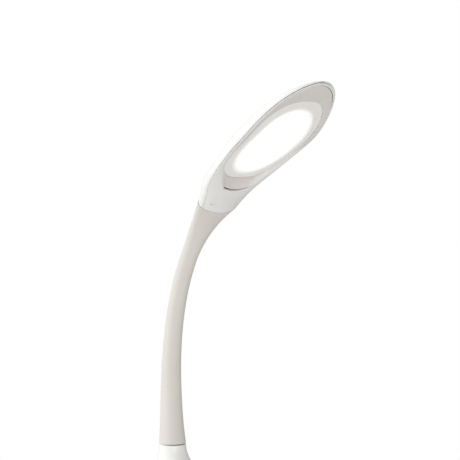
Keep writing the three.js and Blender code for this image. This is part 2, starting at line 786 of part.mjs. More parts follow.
function topShell() {
  const inside = headBody(SHELL_WALL, HEAD_START - 2);
  let body = headBody(0, HEAD_START).intersect(layer(0, 30));
  body = body.subtract(inside).subtract(inside.translate([0, 0, -2]));
  for (const side of [-1, 1]) {
    const y = side * HEAD_SCREW_Y;
    const boss = post(2.6, HEAD_SCREW_X, y, 1.2, 12, 10);
    body = body.add(boss.intersect(headBody(0.5, HEAD_START)));
    body = body.subtract(post(HEAD_SCREW_RADIUS + GAP, HEAD_SCREW_X, y, -1, 6, 8));
  }
  return body;
}
place(head, "top_shell", topShell(), glossWhite);

// A rectangle of the cover's skin over a screw, between two depths.
function skinPatch(side, margin, outer, inner) {
  const [sizeX, sizeY] = [CAP_WIDTH + margin * 2, CAP_LENGTH + margin * 2];
  const column = box(sizeX, sizeY, 12, HEAD_SCREW_X, side * HEAD_SCREW_Y, -6);
  return column.intersect(headBody(outer, HEAD_START - 2)).subtract(headBody(inner, HEAD_START - 2));
}

function undersideCover() {
  let body = headBody(0, HEAD_START).intersect(layer(-20, -GAP));
  body = body.subtract(headBody(SHELL_WALL, HEAD_START - 2)).subtract(bezelBlank(-GAP, -20, 4));
  for (const side of [-1, 1]) {
    const hole = post(HEAD_SCREW_RADIUS + GAP, HEAD_SCREW_X, side * HEAD_SCREW_Y, -12, 2, 8);
    body = body.subtract(hole).subtract(skinPatch(side, GAP, -1, CAP_DEPTH + GAP));
  }
  return body;
}
place(head, "underside_cover", undersideCover(), satinWhite);

// The bezel: a frame at the cover's level, with the diffuser's opening.
const BEZEL_TOP = BEZEL_THICKNESS - BEZEL_DEPTH;
const FLANGE_TOP = BEZEL_TOP + 1.5;
const bezelFrame = bezelBlank(0, -BEZEL_DEPTH, BEZEL_TOP);
place(head, "bezel", bezelFrame.subtract(oval(GAP, -9, 3)), bezelGrey);

// The diffuser fills the opening and rests on the bezel's back with its flange.
const diffuserPlug = oval(0, -DIFFUSER_DEPTH, FLANGE_TOP);
place(head, "diffuser", diffuserPlug.add(oval(FLANGE, BEZEL_TOP + GAP, FLANGE_TOP)), opal);

function ovalPlate(halfLength, width, z0, z1) {
  const shape = new THREE.Shape().absellipse(0, 0, halfLength, width, 0, Math.PI * 2);
  const options = { depth: z1 - z0, bevelEnabled: false, curveSegments: 14 };
  return solid(new THREE.ExtrudeGeometry(shape, options).translate(BOARD_MID, 0, z0));
}

// The tray's wall stands on the diffuser and holds the LED board.
const TRAY_WALL = 1.6;
function reflectorTray() {
  const top = BOARD_HEIGHT - GAP;
  const [length, width] = [BOARD_HALF_LENGTH + 2, BOARD_HALF_WIDTH + 2];
  const outer = ovalPlate(length, width, -6, top);
  const inner = ovalPlate(length - TRAY_WALL, width - TRAY_WALL, -8, top + 2);
  return outer.subtract(inner).intersect(layer(FLANGE_TOP + GAP, 20));
}
place(head, "reflector_tray", reflectorTray(), satinWhite);

// The board with its LED packages in two rows.
function ledBoard() {
  let board = ovalPlate(BOARD_HALF_LENGTH, BOARD_HALF_WIDTH, BOARD_HEIGHT, BOARD_HEIGHT + 1);
  for (let i = 0; i < 6; i++) {
    for (const side of [-1, 1]) {
      const x = BOARD_MID - 25 + 10 * i;
      board = board.add(box(3.5, 2.8, 0.9, x, side * 10, BOARD_HEIGHT - 0.35));
    }
  }
  return board;
}
place(head, "led_board", ledBoard(), boardWhite);
const SPREADER_FOOT = BOARD_HEIGHT + 1 + GAP;
const spreader = ovalPlate(BOARD_HALF_LENGTH - 2, BOARD_HALF_WIDTH - 2, SPREADER_FOOT, SPREADER_FOOT + 0.8);
place(head, "heat_spreader", spreader, aluminium);

// The gooseneck ends in a hollow stud, and a clamp holds it in the head.
function alongHead(radius, bore, x0, x1) {
  const outer = new THREE.CylinderGeometry(radius, radius, x1 - x0, 18);
  const hole = new THREE.CylinderGeometry(bore, bore, x1 - x0 + 2, 18);
  return solid(outer).subtract(solid(hole)).rotate([0, 0, 90]).translate([(x0 + x1) / 2, 0, 0]);
}
const upperFerrule = alongHead(STUD_RADIUS, CORE_BORE - 0.4, HEAD_START + GAP, 8.5);
place(head, "upper_ferrule", upperFerrule, steel);

function neckClamp() {
  const block = box(8, 18.6, 8, CLAMP_X, 0, 2.6);
  const bore = new THREE.CylinderGeometry(STUD_RADIUS + 0.2, STUD_RADIUS + 0.2, 20, 18);
  return block.subtract(solid(bore).rotate([0, 0, 90]).translate([CLAMP_X, 0, 0]));
}
place(head, "neck_clamp", neckClamp(), aluminium);

for (const [i, side] of [-1, 1].entries()) {
  const screw = post(HEAD_SCREW_RADIUS, HEAD_SCREW_X, side * HEAD_SCREW_Y, -2.4, 5.4, 8);
  place(head, "head_screw_" + (i + 1), screw, steel);
  place(head, "screw_cap_" + (i + 1), skinPatch(side, 0, 0.1, CAP_DEPTH), satinWhite);
}

export default root;
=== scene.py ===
# The looks of a clip-on reading lamp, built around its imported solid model.
# Lengths in the modelling code are millimetres in the part's frame; meshes are made in metres.
import math

import bmesh
import bpy
import numpy as np
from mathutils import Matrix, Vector


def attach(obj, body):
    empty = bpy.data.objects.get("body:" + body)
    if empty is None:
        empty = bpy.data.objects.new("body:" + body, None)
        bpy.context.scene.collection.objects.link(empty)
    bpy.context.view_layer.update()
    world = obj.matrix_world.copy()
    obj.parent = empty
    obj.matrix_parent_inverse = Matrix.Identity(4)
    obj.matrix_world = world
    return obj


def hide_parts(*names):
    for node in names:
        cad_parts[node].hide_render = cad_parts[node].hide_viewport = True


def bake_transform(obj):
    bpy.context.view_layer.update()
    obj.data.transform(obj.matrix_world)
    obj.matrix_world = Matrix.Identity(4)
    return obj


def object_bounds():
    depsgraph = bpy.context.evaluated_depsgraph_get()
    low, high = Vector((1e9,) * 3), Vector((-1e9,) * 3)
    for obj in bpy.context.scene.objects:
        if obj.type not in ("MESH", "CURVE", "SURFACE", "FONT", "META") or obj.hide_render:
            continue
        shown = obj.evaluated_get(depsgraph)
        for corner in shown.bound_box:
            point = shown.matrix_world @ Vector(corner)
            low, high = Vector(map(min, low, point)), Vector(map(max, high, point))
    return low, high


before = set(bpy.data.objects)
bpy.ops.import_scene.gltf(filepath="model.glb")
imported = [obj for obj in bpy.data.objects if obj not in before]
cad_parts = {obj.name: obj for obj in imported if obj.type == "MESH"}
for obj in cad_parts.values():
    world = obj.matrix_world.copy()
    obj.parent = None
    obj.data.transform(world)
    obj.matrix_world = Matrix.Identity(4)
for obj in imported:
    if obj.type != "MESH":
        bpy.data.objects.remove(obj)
cad_low, cad_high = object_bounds()

MM = 0.001
TURN = 2 * math.pi

# ---- objects and camera


def add_object(name, data):
    obj = bpy.data.objects.new(name, data)
    bpy.context.scene.collection.objects.link(obj)
    return obj


def aim(obj, place, direction):
    """Puts a camera or a light at a place, looking along a direction."""
    obj.location = place
    obj.rotation_mode = "QUATERNION"
    obj.rotation_quaternion = direction.to_track_quat("-Z", "Y")


CAMERA_AZIMUTH = math.radians(52)
CAMERA_ELEVATION = math.radians(3.5)
CAMERA_DISTANCE = 1.5
CAMERA_TARGET = Vector((0.04233, -0.00061, 0.25543))
CAMERA_LENS = 138.1  # millimetres, like the sensor
SENSOR_WIDTH = 36


def make_camera():
    data = bpy.data.cameras.new("camera")
    data.sensor_width = SENSOR_WIDTH
    data.lens = CAMERA_LENS
    data.clip_start = 0.05
    data.clip_end = 20
    flat = math.cos(CAMERA_ELEVATION)
    east, south = math.sin(CAMERA_AZIMUTH) * flat, -math.cos(CAMERA_AZIMUTH) * flat
    back = Vector((east, south, math.sin(CAMERA_ELEVATION)))
    camera = add_object("camera", data)
    aim(camera, CAMERA_TARGET + back * CAMERA_DISTANCE, -back)
    bpy.context.scene.camera = camera


make_camera()

# ---- sizes shared with the solids

GAP = 0.3
NECK_X = -42.0
COLLAR_TOP = 60.0
COLLAR_RADIUS = 12.15
COLLAR_SPREAD = 0.0145
COLLAR_LEAN = 0.0089
HOUSING_MID_X = -33.0
HOUSING_HALF_LENGTH = 55.0
HOUSING_HALF_WIDTH = 26.0
HOUSING_TOP = 27.0
HOUSING_POWER = 2.8
HOUSING_BOTTOM = 5.7
SHOULDER = 12.0
WALL = 2.2
FLOOR_UNDERSIDE = 3.0
FLOOR_TOP = 5.4
REAR_X = HOUSING_MID_X - HOUSING_HALF_LENGTH
FRONT_X = HOUSING_MID_X + HOUSING_HALF_LENGTH
FERRULE_HOLE = 6.3
BUTTON_X = 2.0
BUTTON_RADIUS = 6.5
LENS_X = -13.0
SOCKET_Z = 11.0
HINGE_X = -50.0
HINGE_Z = -3.2
JAW_TOP = -5.1
PAD_THICKNESS = 2.6
JAW_GAP = 2.2

NECK_LENGTH = 237.0
NECK_START_ANGLE = -3.5
NECK_END_ANGLE = 55.5
NECK_ANGLE_POWER = 1.8
PIVOTS = 8

HEAD_ANGLE = 52.0
HEAD_START = -3.0
HEAD_TIP = 167.2
HEAD_WIDEST = 95.4
HEAD_HALF_WIDTH = 39.0
NECK_HALF_WIDTH = 21.0
PLAN_POWER = 1.6  # how the plan widens from the neck
PARTING_HEIGHT = [
    (-3, -1.4), (25, 1.9), (50, 0.8), (75, -1.4), (100, -3.6), (130, -2.8), (168, -1.8)
]
SECTION_RISE = [(-3, 3.5), (20, 4.5), (45, 1.2), (75, 0.65)]
TOP_HEIGHT = [(-3, 9.7), (25, 10.2), (55, 11.4), (85, 13.5), (115, 11), (145, 6.3), (168, 0)]
UNDERSIDE_DEPTH = [(-3, 6.1), (12, 6), (26, 5.6), (42, 3.5), (60, 2.2), (168, 1.8)]
SHELL_WALL = 1.8
PARTING_GAP = 0.55  # the shadow line between the top shell and the cover

# ---- mesh tools


def smooth(t):
    t = np.clip(t, 0, 1)
    return t * t * (3 - 2 * t)


def through(knots, x):
    """A smooth curve through (x, value) knots, level beyond the first and the last."""
    at, value = np.array(knots, float).T
    x = np.clip(np.asarray(x, float), at[0], at[-1])
    slope = np.gradient(value, at)
    slope[1:-1] = (value[2:] - value[:-2]) / (at[2:] - at[:-2])
    i = np.clip(np.searchsorted(at, x, side="right") - 1, 0, len(at) - 2)
    span = at[i + 1] - at[i]
    t = (x - at[i]) / span
    lean = t * (1 - t) * ((1 - t) * slope[i] - t * slope[i + 1])
    return value[i] + (value[i + 1] - value[i]) * smooth(t) + span * lean


def resample(line, count):
    """The same polyline with count points spaced evenly along it."""
    steps = np.linalg.norm(np.diff(line, axis=0), axis=1)
    along = np.concatenate([[0], np.cumsum(steps)])
    at = np.linspace(0, along[-1], count)
    return np.stack([np.interp(at, along, line[:, k]) for k in range(line.shape[1])], 1)


def grid_faces(rows, columns, wrap_rows, wrap_columns):
    faces = []
    for r in range(rows if wrap_rows else rows - 1):
        for c in range(columns if wrap_columns else columns - 1):
            r1, c1 = (r + 1) % rows, (c + 1) % columns
            faces.append((r * columns + c, r * columns + c1, r1 * columns + c1, r1 * columns + c))
    return faces


def build(name, points, faces, sharp=38.0, weld=True):
    """A mesh object from millimetre points, with outward normals and smooth shading."""
    mesh = bpy.data.meshes.new(name)
    mesh.from_pydata([tuple(p) for p in np.asarray(points) * MM], [], faces)
    bm = bmesh.new()
    bm.from_mesh(mesh)
    if weld:
        bmesh.ops.remove_doubles(bm, verts=bm.verts, dist=2e-6)
        bmesh.ops.dissolve_degenerate(bm, edges=bm.edges, dist=1e-7)
    bmesh.ops.recalc_face_normals(bm, faces=bm.faces)
    if bm.calc_volume(signed=True) < 0:
        bmesh.ops.reverse_faces(bm, faces=bm.faces)
    bm.to_mesh(mesh)
    bm.free()
    obj = add_object(name, mesh)
    shade(obj, sharp)
    return obj


def shade(obj, sharp):
    mesh = obj.data
    mesh.polygons.foreach_set("use_smooth", [True] * len(mesh.polygons))
    mesh.set_sharp_from_angle(angle=math.radians(sharp))
    mesh.update()


def skin(name, rows, wrap_rows=False, wrap_columns=True, caps=True, sharp=38.0):
    """Rows of points skinned into a surface; open ends are closed by flat caps."""
    rows = np.asarray(rows, float)
    count, columns = rows.shape[:2]
    faces = grid_faces(count, columns, wrap_rows, wrap_columns)
    if caps and not wrap_rows:
        faces.append(tuple(range(columns))[::-1])
        faces.append(tuple((count - 1) * columns + k for k in range(columns)))
    return build(name, rows.reshape(-1, 3), faces, sharp)


def lathe(name, profile, x=0.0, y=0.0, sides=72, sharp=38.0):
    """A profile of [radius, height] turned about an upright axis at x, y."""
    angles = np.arange(sides) * TURN / sides
    profile = np.asarray(profile, float)
    rows = [
        np.stack([x + r * np.cos(angles), y + r * np.sin(angles), np.full(sides, z)], 1)
        for r, z in profile
    ]
    closed = bool(np.allclose(profile[0], profile[-1]))
    if closed:
        rows = rows[:-1]
    return skin(name, rows, wrap_rows=closed, caps=not closed, sharp=sharp)


def tube(name, path, radius, sides=16):
    """A round wire along a path, with flat ends."""
    path = np.asarray(path, float)
    tangents = np.gradient(path, axis=0)
    tangents /= np.linalg.norm(tangents, axis=1)[:, None]
    side = np.cross(tangents[0], (0, 1, 0.1))
    rows = []
    angles = np.arange(sides) * TURN / sides
    for p, t in zip(path, tangents):
        side = side - t * (side @ t)
        side /= np.linalg.norm(side)
        other = np.cross(t, side)
        rows.append(
            p + radius * (np.cos(angles)[:, None] * side + np.sin(angles)[:, None] * other)
        )
    return skin(name, rows)


def combine(obj, tool, operation):
    """A boolean with another object, which is used up."""
    modifier = obj.modifiers.new("boolean", "BOOLEAN")
    modifier.operation = operation
    modifier.solver = "EXACT"
    modifier.object = tool
    graph = bpy.context.evaluated_depsgraph_get()
    mesh = bpy.data.meshes.new_from_object(obj.evaluated_get(graph))
    obj.modifiers.clear()
    obj.data = mesh
    bpy.data.objects.remove(tool)
    return obj


def cut(obj, tool):
    return combine(obj, tool, "DIFFERENCE")


def join(obj, tool):
    return combine(obj, tool, "UNION")


def rounded_box(name, centre, size, radius, frame_of=None):
    """A box with rounded upright edges and softened top and bottom edges."""
    hx, hy, hz = (v / 2 for v in size)
    radius = min(radius, hx * 0.999, hy * 0.999)
    soft = min(radius, hz) * 0.35
    steps = 5  # of each rounded corner

    def ring(inset, z):
        r = max(radius - inset, 0.02)
        corners = [(1, 1, 0), (-1, 1, 90), (-1, -1, 180), (1, -1, 270)]
        points = []
        for sx, sy, start in corners:
            for k in range(steps + 1):
                a = math.radians(start + 90 * k / steps)
                points.append(
                    (
                        sx * (hx - inset - r) + r * math.cos(a),
                        sy * (hy - inset - r) + r * math.sin(a),
                        z,
                    )
                )
        return points

    levels = []
    for k in range(4):
        a = k / 3 * math.pi / 2
        levels.append((soft * (1 - math.sin(a)), -hz + soft * (1 - math.cos(a))))
    levels += [(inset, -z) for inset, z in reversed(levels)]
    rows = np.array([ring(inset, z) for inset, z in levels]) + np.array(centre)
    if frame_of is not None:
        rows = frame_of(rows)
    return skin(name, rows)


def edge_distance(x, y, outline):
    """How far each plan point is from a closed outline."""
    p = np.stack([np.ravel(x), np.ravel(y)], 1)
    a = outline
    b = np.roll(outline, -1, axis=0)
    ab = b - a
    length = np.maximum((ab**2).sum(1), 1e-12)
    t = np.clip(((p[:, None] - a) * ab).sum(2) / length, 0, 1)
    near = a + t[..., None] * ab
    return np.sqrt(((p[:, None] - near) ** 2).sum(2).min(1)).reshape(np.shape(x))


def quarter(distance, radius):
    """How far a rounded edge of this radius drops at a distance inside the outline."""
    short = np.clip(radius - distance, 0, radius)
    return radius - np.sqrt(radius**2 - short**2)


def sliced(name, xs, half_width, low, high, across=49, sharp=38.0):
    """A body in slices along x: half_width(x) wide, from height low(x, y) to high(x, y)."""
    spread = np.sin(np.linspace(-1, 1, across) * math.pi / 2)
    x = np.repeat(xs[:, None], across, 1)
    y = half_width(xs)[:, None] * spread[None]
    below = np.stack([x, y, low(x, y)], 2)
    above = np.stack([x, y, high(x, y)], 2)
    return skin(name, np.concatenate([below, above[:, ::-1]], 1), sharp=sharp)


def crowded(low, high, count):
    """Positions between two ends, closer together near the ends."""
    return low + (high - low) * (1 - np.cos(np.linspace(0, 1, count) * math.pi)) / 2


# ---- materials


CLOUD_SIZE = 26  # millimetres, of the faint clouds of colour
PATCH_SIZE = 7  # and of the patches of rougher and smoother surface
ROUGHNESS_SPREAD = 0.06


def set_sockets(node, values):
    for socket, value in values.items():
        node.inputs[socket].default_value = value


def new_material(name):
    """(material, its nodes, its links, its main shader)"""
    mat = bpy.data.materials.new(name)
    mat.use_nodes = True
    nodes = mat.node_tree.nodes
    return mat, nodes, mat.node_tree.links, nodes["Principled BSDF"]


def read_attribute(nodes, name):
    node = nodes.new("ShaderNodeAttribute")
    node.attribute_name = name
    return node


def set_ramp(ramp, at, colours):
    for element, position, colour in zip(ramp.color_ramp.elements, at, colours):
        element.position = position
        element.color = (*colour, 1)


def material(
    name,
    colour,
    roughness,
    metallic=0.0,
    grain=0.25,
    grain_depth=0.01,
    tint=0.03,
    coat=0.0,
    specular=0.5,
    by_attribute=False,
):
    """A moulded or metal surface: faint cloudy colour, uneven roughness and a fine grain.

    grain is the size of the grain in millimetres and tint says how much the colour wanders.
    Blended pieces read their rest position from an attribute.
    """
    mat, nodes, links, shader = new_material(name)
    set_sockets(shader, {"Metallic": metallic, "Coat Weight": coat, "Coat Roughness": 0.12})
    set_sockets(shader, {"Specular IOR Level": specular})
    if by_attribute:
        position = read_attribute(nodes, "rest").outputs["Vector"]
    else:
        position = nodes.new("ShaderNodeTexCoord").outputs["Object"]

    def noise(size, detail):
        node = nodes.new("ShaderNodeTexNoise")
        set_sockets(node, {"Scale": 1 / (size * MM), "Detail": detail, "Roughness": 0.6})
        links.new(position, node.inputs["Vector"])
        return node.outputs["Fac"]

    ramp = nodes.new("ShaderNodeValToRGB")
    dark = [c * (1 - tint) for c in colour]
    light = [min(1.0, c * (1 + tint * 0.6)) for c in colour]
    set_ramp(ramp, (0.3, 0.7), (dark, light))
    links.new(noise(CLOUD_SIZE, 3), ramp.inputs["Fac"])
    links.new(ramp.outputs["Color"], shader.inputs["Base Color"])

    span = nodes.new("ShaderNodeMapRange")
    least = max(0.02, roughness - ROUGHNESS_SPREAD)
    most = min(1.0, roughness + ROUGHNESS_SPREAD)
    set_sockets(span, {"From Min": 0.3, "From Max": 0.7, "To Min": least, "To Max": most})
    links.new(noise(PATCH_SIZE, 4), span.inputs["Value"])
    links.new(span.outputs["Result"], shader.inputs["Roughness"])

    bump = nodes.new("ShaderNodeBump")
    set_sockets(bump, {"Strength": 0.6, "Distance": grain_depth * MM})
    links.new(noise(grain, 5), bump.inputs["Height"])
    links.new(bump.outputs["Normal"], shader.inputs["Normal"])
    return mat


def srgb(r, g, b):
    """Display values 0 to 255 as scene-linear colour."""

    def linear(v):
        v /= 255
        return v / 12.92 if v <= 0.04045 else ((v + 0.055) / 1.055) ** 2.4

    return (linear(r), linear(g), linear(b))


GLOSS_WHITE = material(
    "gloss_white", srgb(246, 246, 244), 0.24, grain=0.9, grain_depth=0.006, coat=0.35
)
SATIN_WHITE = material("satin_white", srgb(236, 234, 232), 0.42, grain=0.35, grain_depth=0.012)
COVER_WHITE = material("cover_white", srgb(238, 236, 234), 0.38, grain=0.3, grain_depth=0.01)
# painted shade: this grey stands for the shade in the bezel's scoop and round its tip; elsewhere
# the bezel is mixed to the cover's white
BEZEL_PAINTED_SHADE = material("bezel_grey", srgb(223, 218, 215), 0.46, grain=0.3, grain_depth=0.014)
SILICONE = material(
    "silicone",
    srgb(222, 218, 211),
    0.7,
    grain=0.45,
    grain_depth=0.02,
    tint=0.02,
    specular=0.35,
    by_attribute=True,
)
PAD_RUBBER = material(
    "pad_rubber", srgb(140, 140, 137), 0.86, grain=0.5, grain_depth=0.06, tint=0.08, specular=0.3
)
STEEL = material(
    "steel", srgb(196, 198, 202), 0.28, metallic=1.0, grain=0.2, grain_depth=0.008, tint=0.05
)
SPRING_STEEL = material(
    "spring_steel",
    srgb(158, 161, 166),
    0.34,
    metallic=1.0,
    grain=0.15,
    grain_depth=0.01,
    tint=0.1,
    by_attribute=True,
)
ALUMINIUM = material(
    "aluminium", srgb(205, 207, 208), 0.42, metallic=1.0, grain=0.3, grain_depth=0.015, tint=0.05
)
BOARD_WHITE = material(
    "board_white", srgb(240, 240, 234), 0.45, grain=0.4, grain_depth=0.02, tint=0.04
)
BOARD_GREEN = material(
    "board_green", srgb(47, 107, 69), 0.4, grain=0.5, grain_depth=0.03, tint=0.2, coat=0.3
)
CELL_BLUE = material(
    "cell_blue", srgb(59, 110, 168), 0.35, grain=2.0, grain_depth=0.04, tint=0.08, coat=0.3
)
WIRE_RED = material("wire_red", srgb(168, 50, 50), 0.5, grain=0.4, grain_depth=0.02, tint=0.08)
OPAL = material("opal", srgb(250, 250, 244), 0.3, grain=0.4, grain_depth=0.01, tint=0.01)


GLOW = 1.6


def glowing_opal():
    """The diffuser: milky plastic that glows where the attribute "glow" says."""
    mat = material(
        "glowing_opal", srgb(232, 231, 228), 0.36, grain=0.4, grain_depth=0.01, tint=0.01
    )
    nodes, links = mat.node_tree.nodes, mat.node_tree.links
    shader = nodes["Principled BSDF"]
    power = nodes.new("ShaderNodeMath")
    power.operation = "MULTIPLY"
    power.inputs[1].default_value = GLOW
    links.new(read_attribute(nodes, "glow").outputs["Fac"], power.inputs[0])
    set_sockets(shader, {"Emission Color": (1.0, 0.995, 0.975, 1)})
    links.new(power.outputs["Value"], shader.inputs["Emission Strength"])
    return mat


GLOWING_OPAL = glowing_opal()


def paint_bezel_shade():
    """Painted shade on the bezel: its grey stands for the shade in the scoop and round the tip,
    and turns into the cover's white where the stored share of that shade falls to 0.
    """
    nodes, links = BEZEL_PAINTED_SHADE.node_tree.nodes, BEZEL_PAINTED_SHADE.node_tree.links
    shader = nodes["Principled BSDF"]
    shade_grey = shader.inputs["Base Color"].links[0].from_socket
    mix = nodes.new("ShaderNodeMix")
    mix.data_type = "RGBA"
    mix.inputs["A"].default_value = (*srgb(238, 236, 234), 1)
    links.new(read_attribute(nodes, "painted_shade").outputs["Fac"], mix.inputs["Factor"])
    links.new(shade_grey, mix.inputs["B"])
    links.new(mix.outputs["Result"], shader.inputs["Base Color"])


paint_bezel_shade()

# ---- dressing


def dress(obj, mat, body, replaces=()):
    """Gives a rigid piece its material and its place in the frame."""
    obj.data.materials.clear()
    obj.data.materials.append(mat)
    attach(obj, body)
    if replaces:
        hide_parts(*replaces)


def store(obj, name, values):
    """Keeps a number at each point, for the material to read."""
    attribute = obj.data.attributes.new(name, "FLOAT", "POINT")
    attribute.data.foreach_set("value", np.asarray(values, np.float32).ravel())


def remember_rest(obj):
    """Stores where each point is at rest, so that a bending piece carries its grain along."""
    count = len(obj.data.vertices)
    places = np.zeros(count * 3, np.float32)
    obj.data.vertices.foreach_get("co", places)
    attribute = obj.data.attributes.new("rest", "FLOAT_VECTOR", "POINT")
    attribute.data.foreach_set("vector", places)


# ---- neck sleeve


def neck_angle(s):
    bend = (np.maximum(s, 0) / NECK_LENGTH) ** NECK_ANGLE_POWER
    return np.radians(NECK_START_ANGLE + (NECK_END_ANGLE - NECK_START_ANGLE) * bend)


def neck_point(s, steps=60):
    angles = neck_angle(s * (np.arange(steps) + 0.5) / steps)
    return np.array(
        [
            NECK_X + np.sin(angles).sum() * s / steps,
            0.0,
            COLLAR_TOP + np.cos(angles).sum() * s / steps,
        ]
    )


FLARE_START = 170.0  # where the sleeve starts to widen into the head
SEAM_HALF_THICKNESS = 9.55
SEAM_HALF_WIDTH = 20.8
SEAM_RISE = 2.1  # of the seam's middle above the neck's axis
SLEEVE_BORE = 5.9
SLEEVE_RADIUS = 7.4
SLEEVE_TAPER = 3.95  # how much wider the sleeve is at its foot
FOOT_ROLL = 0.8  # and the rolled edge there
TILT_START = 200  # where the rings start to lean from the neck's angle to the head's


def sleeve_section(s):
    """(half-thickness, half-width, tilt, rise) of the sleeve at s along the neck."""
    t = s / NECK_LENGTH
    slim = SLEEVE_RADIUS + SLEEVE_TAPER * (1 - t) ** 3.2 + FOOT_ROLL * (1 - t) ** 18
    flare = np.clip((s - FLARE_START) / (NECK_LENGTH - FLARE_START), 0, 1)
    thick = slim + (SEAM_HALF_THICKNESS - SLEEVE_RADIUS) * flare**1.35
    wide = slim + (SEAM_HALF_WIDTH - SLEEVE_RADIUS) * flare**1.95
    lean = smooth((s - TILT_START) / (NECK_LENGTH - TILT_START))
    tilt = neck_angle(s) + (math.radians(HEAD_ANGLE) - neck_angle(s)) * lean
    return thick, wide, tilt, SEAM_RISE * flare**1.6


def sleeve_ring(s, angles, bore):
    thick, wide, tilt, rise = sleeve_section(s)
    if bore:
        thick = wide = SLEEVE_BORE
        rise = 0
    across = np.array([math.cos(tilt), 0, -math.sin(tilt)])
    ring = np.cos(angles)[:, None] * thick * across
    ring = ring + np.sin(angles)[:, None] * wide * np.array([0, 1.0, 0])
    return neck_point(s) + ring - across * rise


def make_sleeve():
    sides = 104
    angles = np.arange(sides) * TURN / sides
    segment = NECK_LENGTH / PIVOTS
    for k in range(1, PIVOTS + 1):
        start = segment * (k - 1) + (0.25 if k == 1 else 0)
        end = segment * k - (0.35 if k == PIVOTS else 0)
        stations = np.linspace(start, end, 27)
        rows = [sleeve_ring(s, angles, False) for s in stations]
        if k == 1:  # the sleeve's foot is softened where it meets the collar
            rows[0] = rows[0] + (neck_point(stations[0]) - rows[0]) * 0.03
        rows += [sleeve_ring(s, angles, True) for s in stations[::-1]]
        piece = skin(f"neck_sleeve_piece_{k}", rows, wrap_rows=True, sharp=50)
        piece.data.materials.append(SILICONE)
        remember_rest(piece)
        nodes = [f"neck_sleeve_{k}"] + (["neck_sleeve_0"] if k == 1 else [])
        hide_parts(*nodes)
        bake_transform(piece)


make_sleeve()

# ---- head

HEAD_DIRECTION = math.radians(HEAD_ANGLE)
HEAD_ORIGIN = neck_point(NECK_LENGTH) - HEAD_START * np.array(
    [math.sin(HEAD_DIRECTION), 0, math.cos(HEAD_DIRECTION)]
)


def to_head(points):
    """Points of the head's own frame (x to the tip, z to the top shell) in the part's frame."""
    points = np.asarray(points, float)
    c, s = math.sin(HEAD_DIRECTION), math.cos(HEAD_DIRECTION)
    x = HEAD_ORIGIN[0] + points[..., 0] * c - points[..., 2] * s
    z = HEAD_ORIGIN[2] + points[..., 0] * s + points[..., 2] * c
    return np.stack([x, points[..., 1], z], -1)


def half_width(x):
    near = HEAD_HALF_WIDTH - (HEAD_HALF_WIDTH - NECK_HALF_WIDTH) * (
        np.clip((HEAD_WIDEST - x) / HEAD_WIDEST, 0, None) ** PLAN_POWER
    )
    t = np.clip((x - HEAD_WIDEST) / (HEAD_TIP - HEAD_WIDEST), 0, 1)
    far = HEAD_HALF_WIDTH * np.sqrt(1 - t**2)
    return np.where(x > HEAD_WIDEST, far, near)


def parting(x):
    return through(PARTING_HEIGHT, x)


def rise(x):
    return through(SECTION_RISE, x)


def section_power(x):
    """2 for an ellipse at the neck, squarer towards the tip."""
    return 2 + 1.6 * smooth(x / 60)


def make_top_shell():
    near = np.linspace(HEAD_START, HEAD_WIDEST, 60)[:-1]
    far = np.sin(np.linspace(0, 0.9995, 60) * math.pi / 2)
    stations = np.concatenate([near, HEAD_WIDEST + (HEAD_TIP - HEAD_WIDEST) * far])
    dense = (1 - np.cos(np.linspace(0, 1, 900) * math.pi)) * math.pi / 2
    soften = 0.35

    def arch(x, inset, count):
        """A section from the parting line up over the top and down to it again."""
        width = max(0.05, float(half_width(x)) - inset)
        height = max(0.05, float(through(TOP_HEIGHT, x)) - inset)
        p = float(section_power(x))
        low = float(rise(x))
        full = low + float(through(UNDERSIDE_DEPTH, x))
        under = math.asin((low / full) ** (p / 2))
        t = dense * (1 + 2 * under / math.pi) - under
        y = width * np.sign(np.cos(t)) * np.abs(np.cos(t)) ** (2 / p)
        up = np.abs(np.sin(t)) ** (2 / p)
        z = np.where(t * (math.pi - t) > 0, height * up, -full * up)
        if inset == 0:  # the rim's lower edge is rounded
            drop = quarter(z + low, soften)
            y = y - np.sign(y) * np.minimum(drop, width * 0.5)
        line = np.stack([np.full_like(y, x), y, float(parting(x)) + low + z], 1)
        return resample(line, count)

    inner_reach = (HEAD_TIP - SHELL_WALL - HEAD_START) / (HEAD_TIP - HEAD_START)
    rows = []
    for x in stations:
        outside = arch(x, 0, 84)
        inside_x = HEAD_START + (x - HEAD_START) * inner_reach
        inside = arch(inside_x, SHELL_WALL, 40)
        rows.append(np.concatenate([outside, inside[::-1]]))
    # the arches meet in a point at the tip
    shell = skin("head_top_shell", to_head(np.array(rows)), sharp=45)
    dress(shell, GLOSS_WHITE, "head", ["top_shell"])


BEZEL_START = 24.5
BEZEL_END = 163.2
BEZEL_ROUND = 46.0
BEZEL_INSET = 2.5
RING_DEPTH = 0.3  # of the diffuser's flat border below the parting line
DIFFUSER_MID = 89.2
DIFFUSER_HALF_LENGTH = 54.0
DIFFUSER_HALF_WIDTH = 32.8
DIFFUSER_POWER = 2.5
LIT_MID = 88.0
LIT_HALF_LENGTH = 46.4
LIT_HALF_WIDTH = 28.2
LIT_SLOPE = 5.0  # width of the slope from the border down to the lit floor


def shell_reach(x, y, inset):
    """0 on the head's middle line, 1 on its widest outline pulled in by inset."""
    t = np.clip((x - HEAD_WIDEST) / (HEAD_TIP - inset - HEAD_WIDEST), 0, 1)
    wide = np.where(x > HEAD_WIDEST, HEAD_HALF_WIDTH, half_width(x)) - inset
    return np.clip(np.sqrt(t**2 + (np.abs(y) / wide) ** 2), 0, 1)


def low_face(x, y, inset):
    p = section_power(x)
    down = np.maximum(0, through(UNDERSIDE_DEPTH, x) + rise(x) - inset)
    z = parting(x) + rise(x) - down * (1 - shell_reach(x, y, inset) ** p) ** (1 / p)
    return np.minimum(z, parting(x) - PARTING_GAP)


def underside(x, y):
    """Height of the underside cover's outer face."""
    return low_face(x, y, 0)


def underside_inner(x, y):
    """Height of the cover's inner face; over the narrow lip it is the parting line."""
    return low_face(x, y, SHELL_WALL)


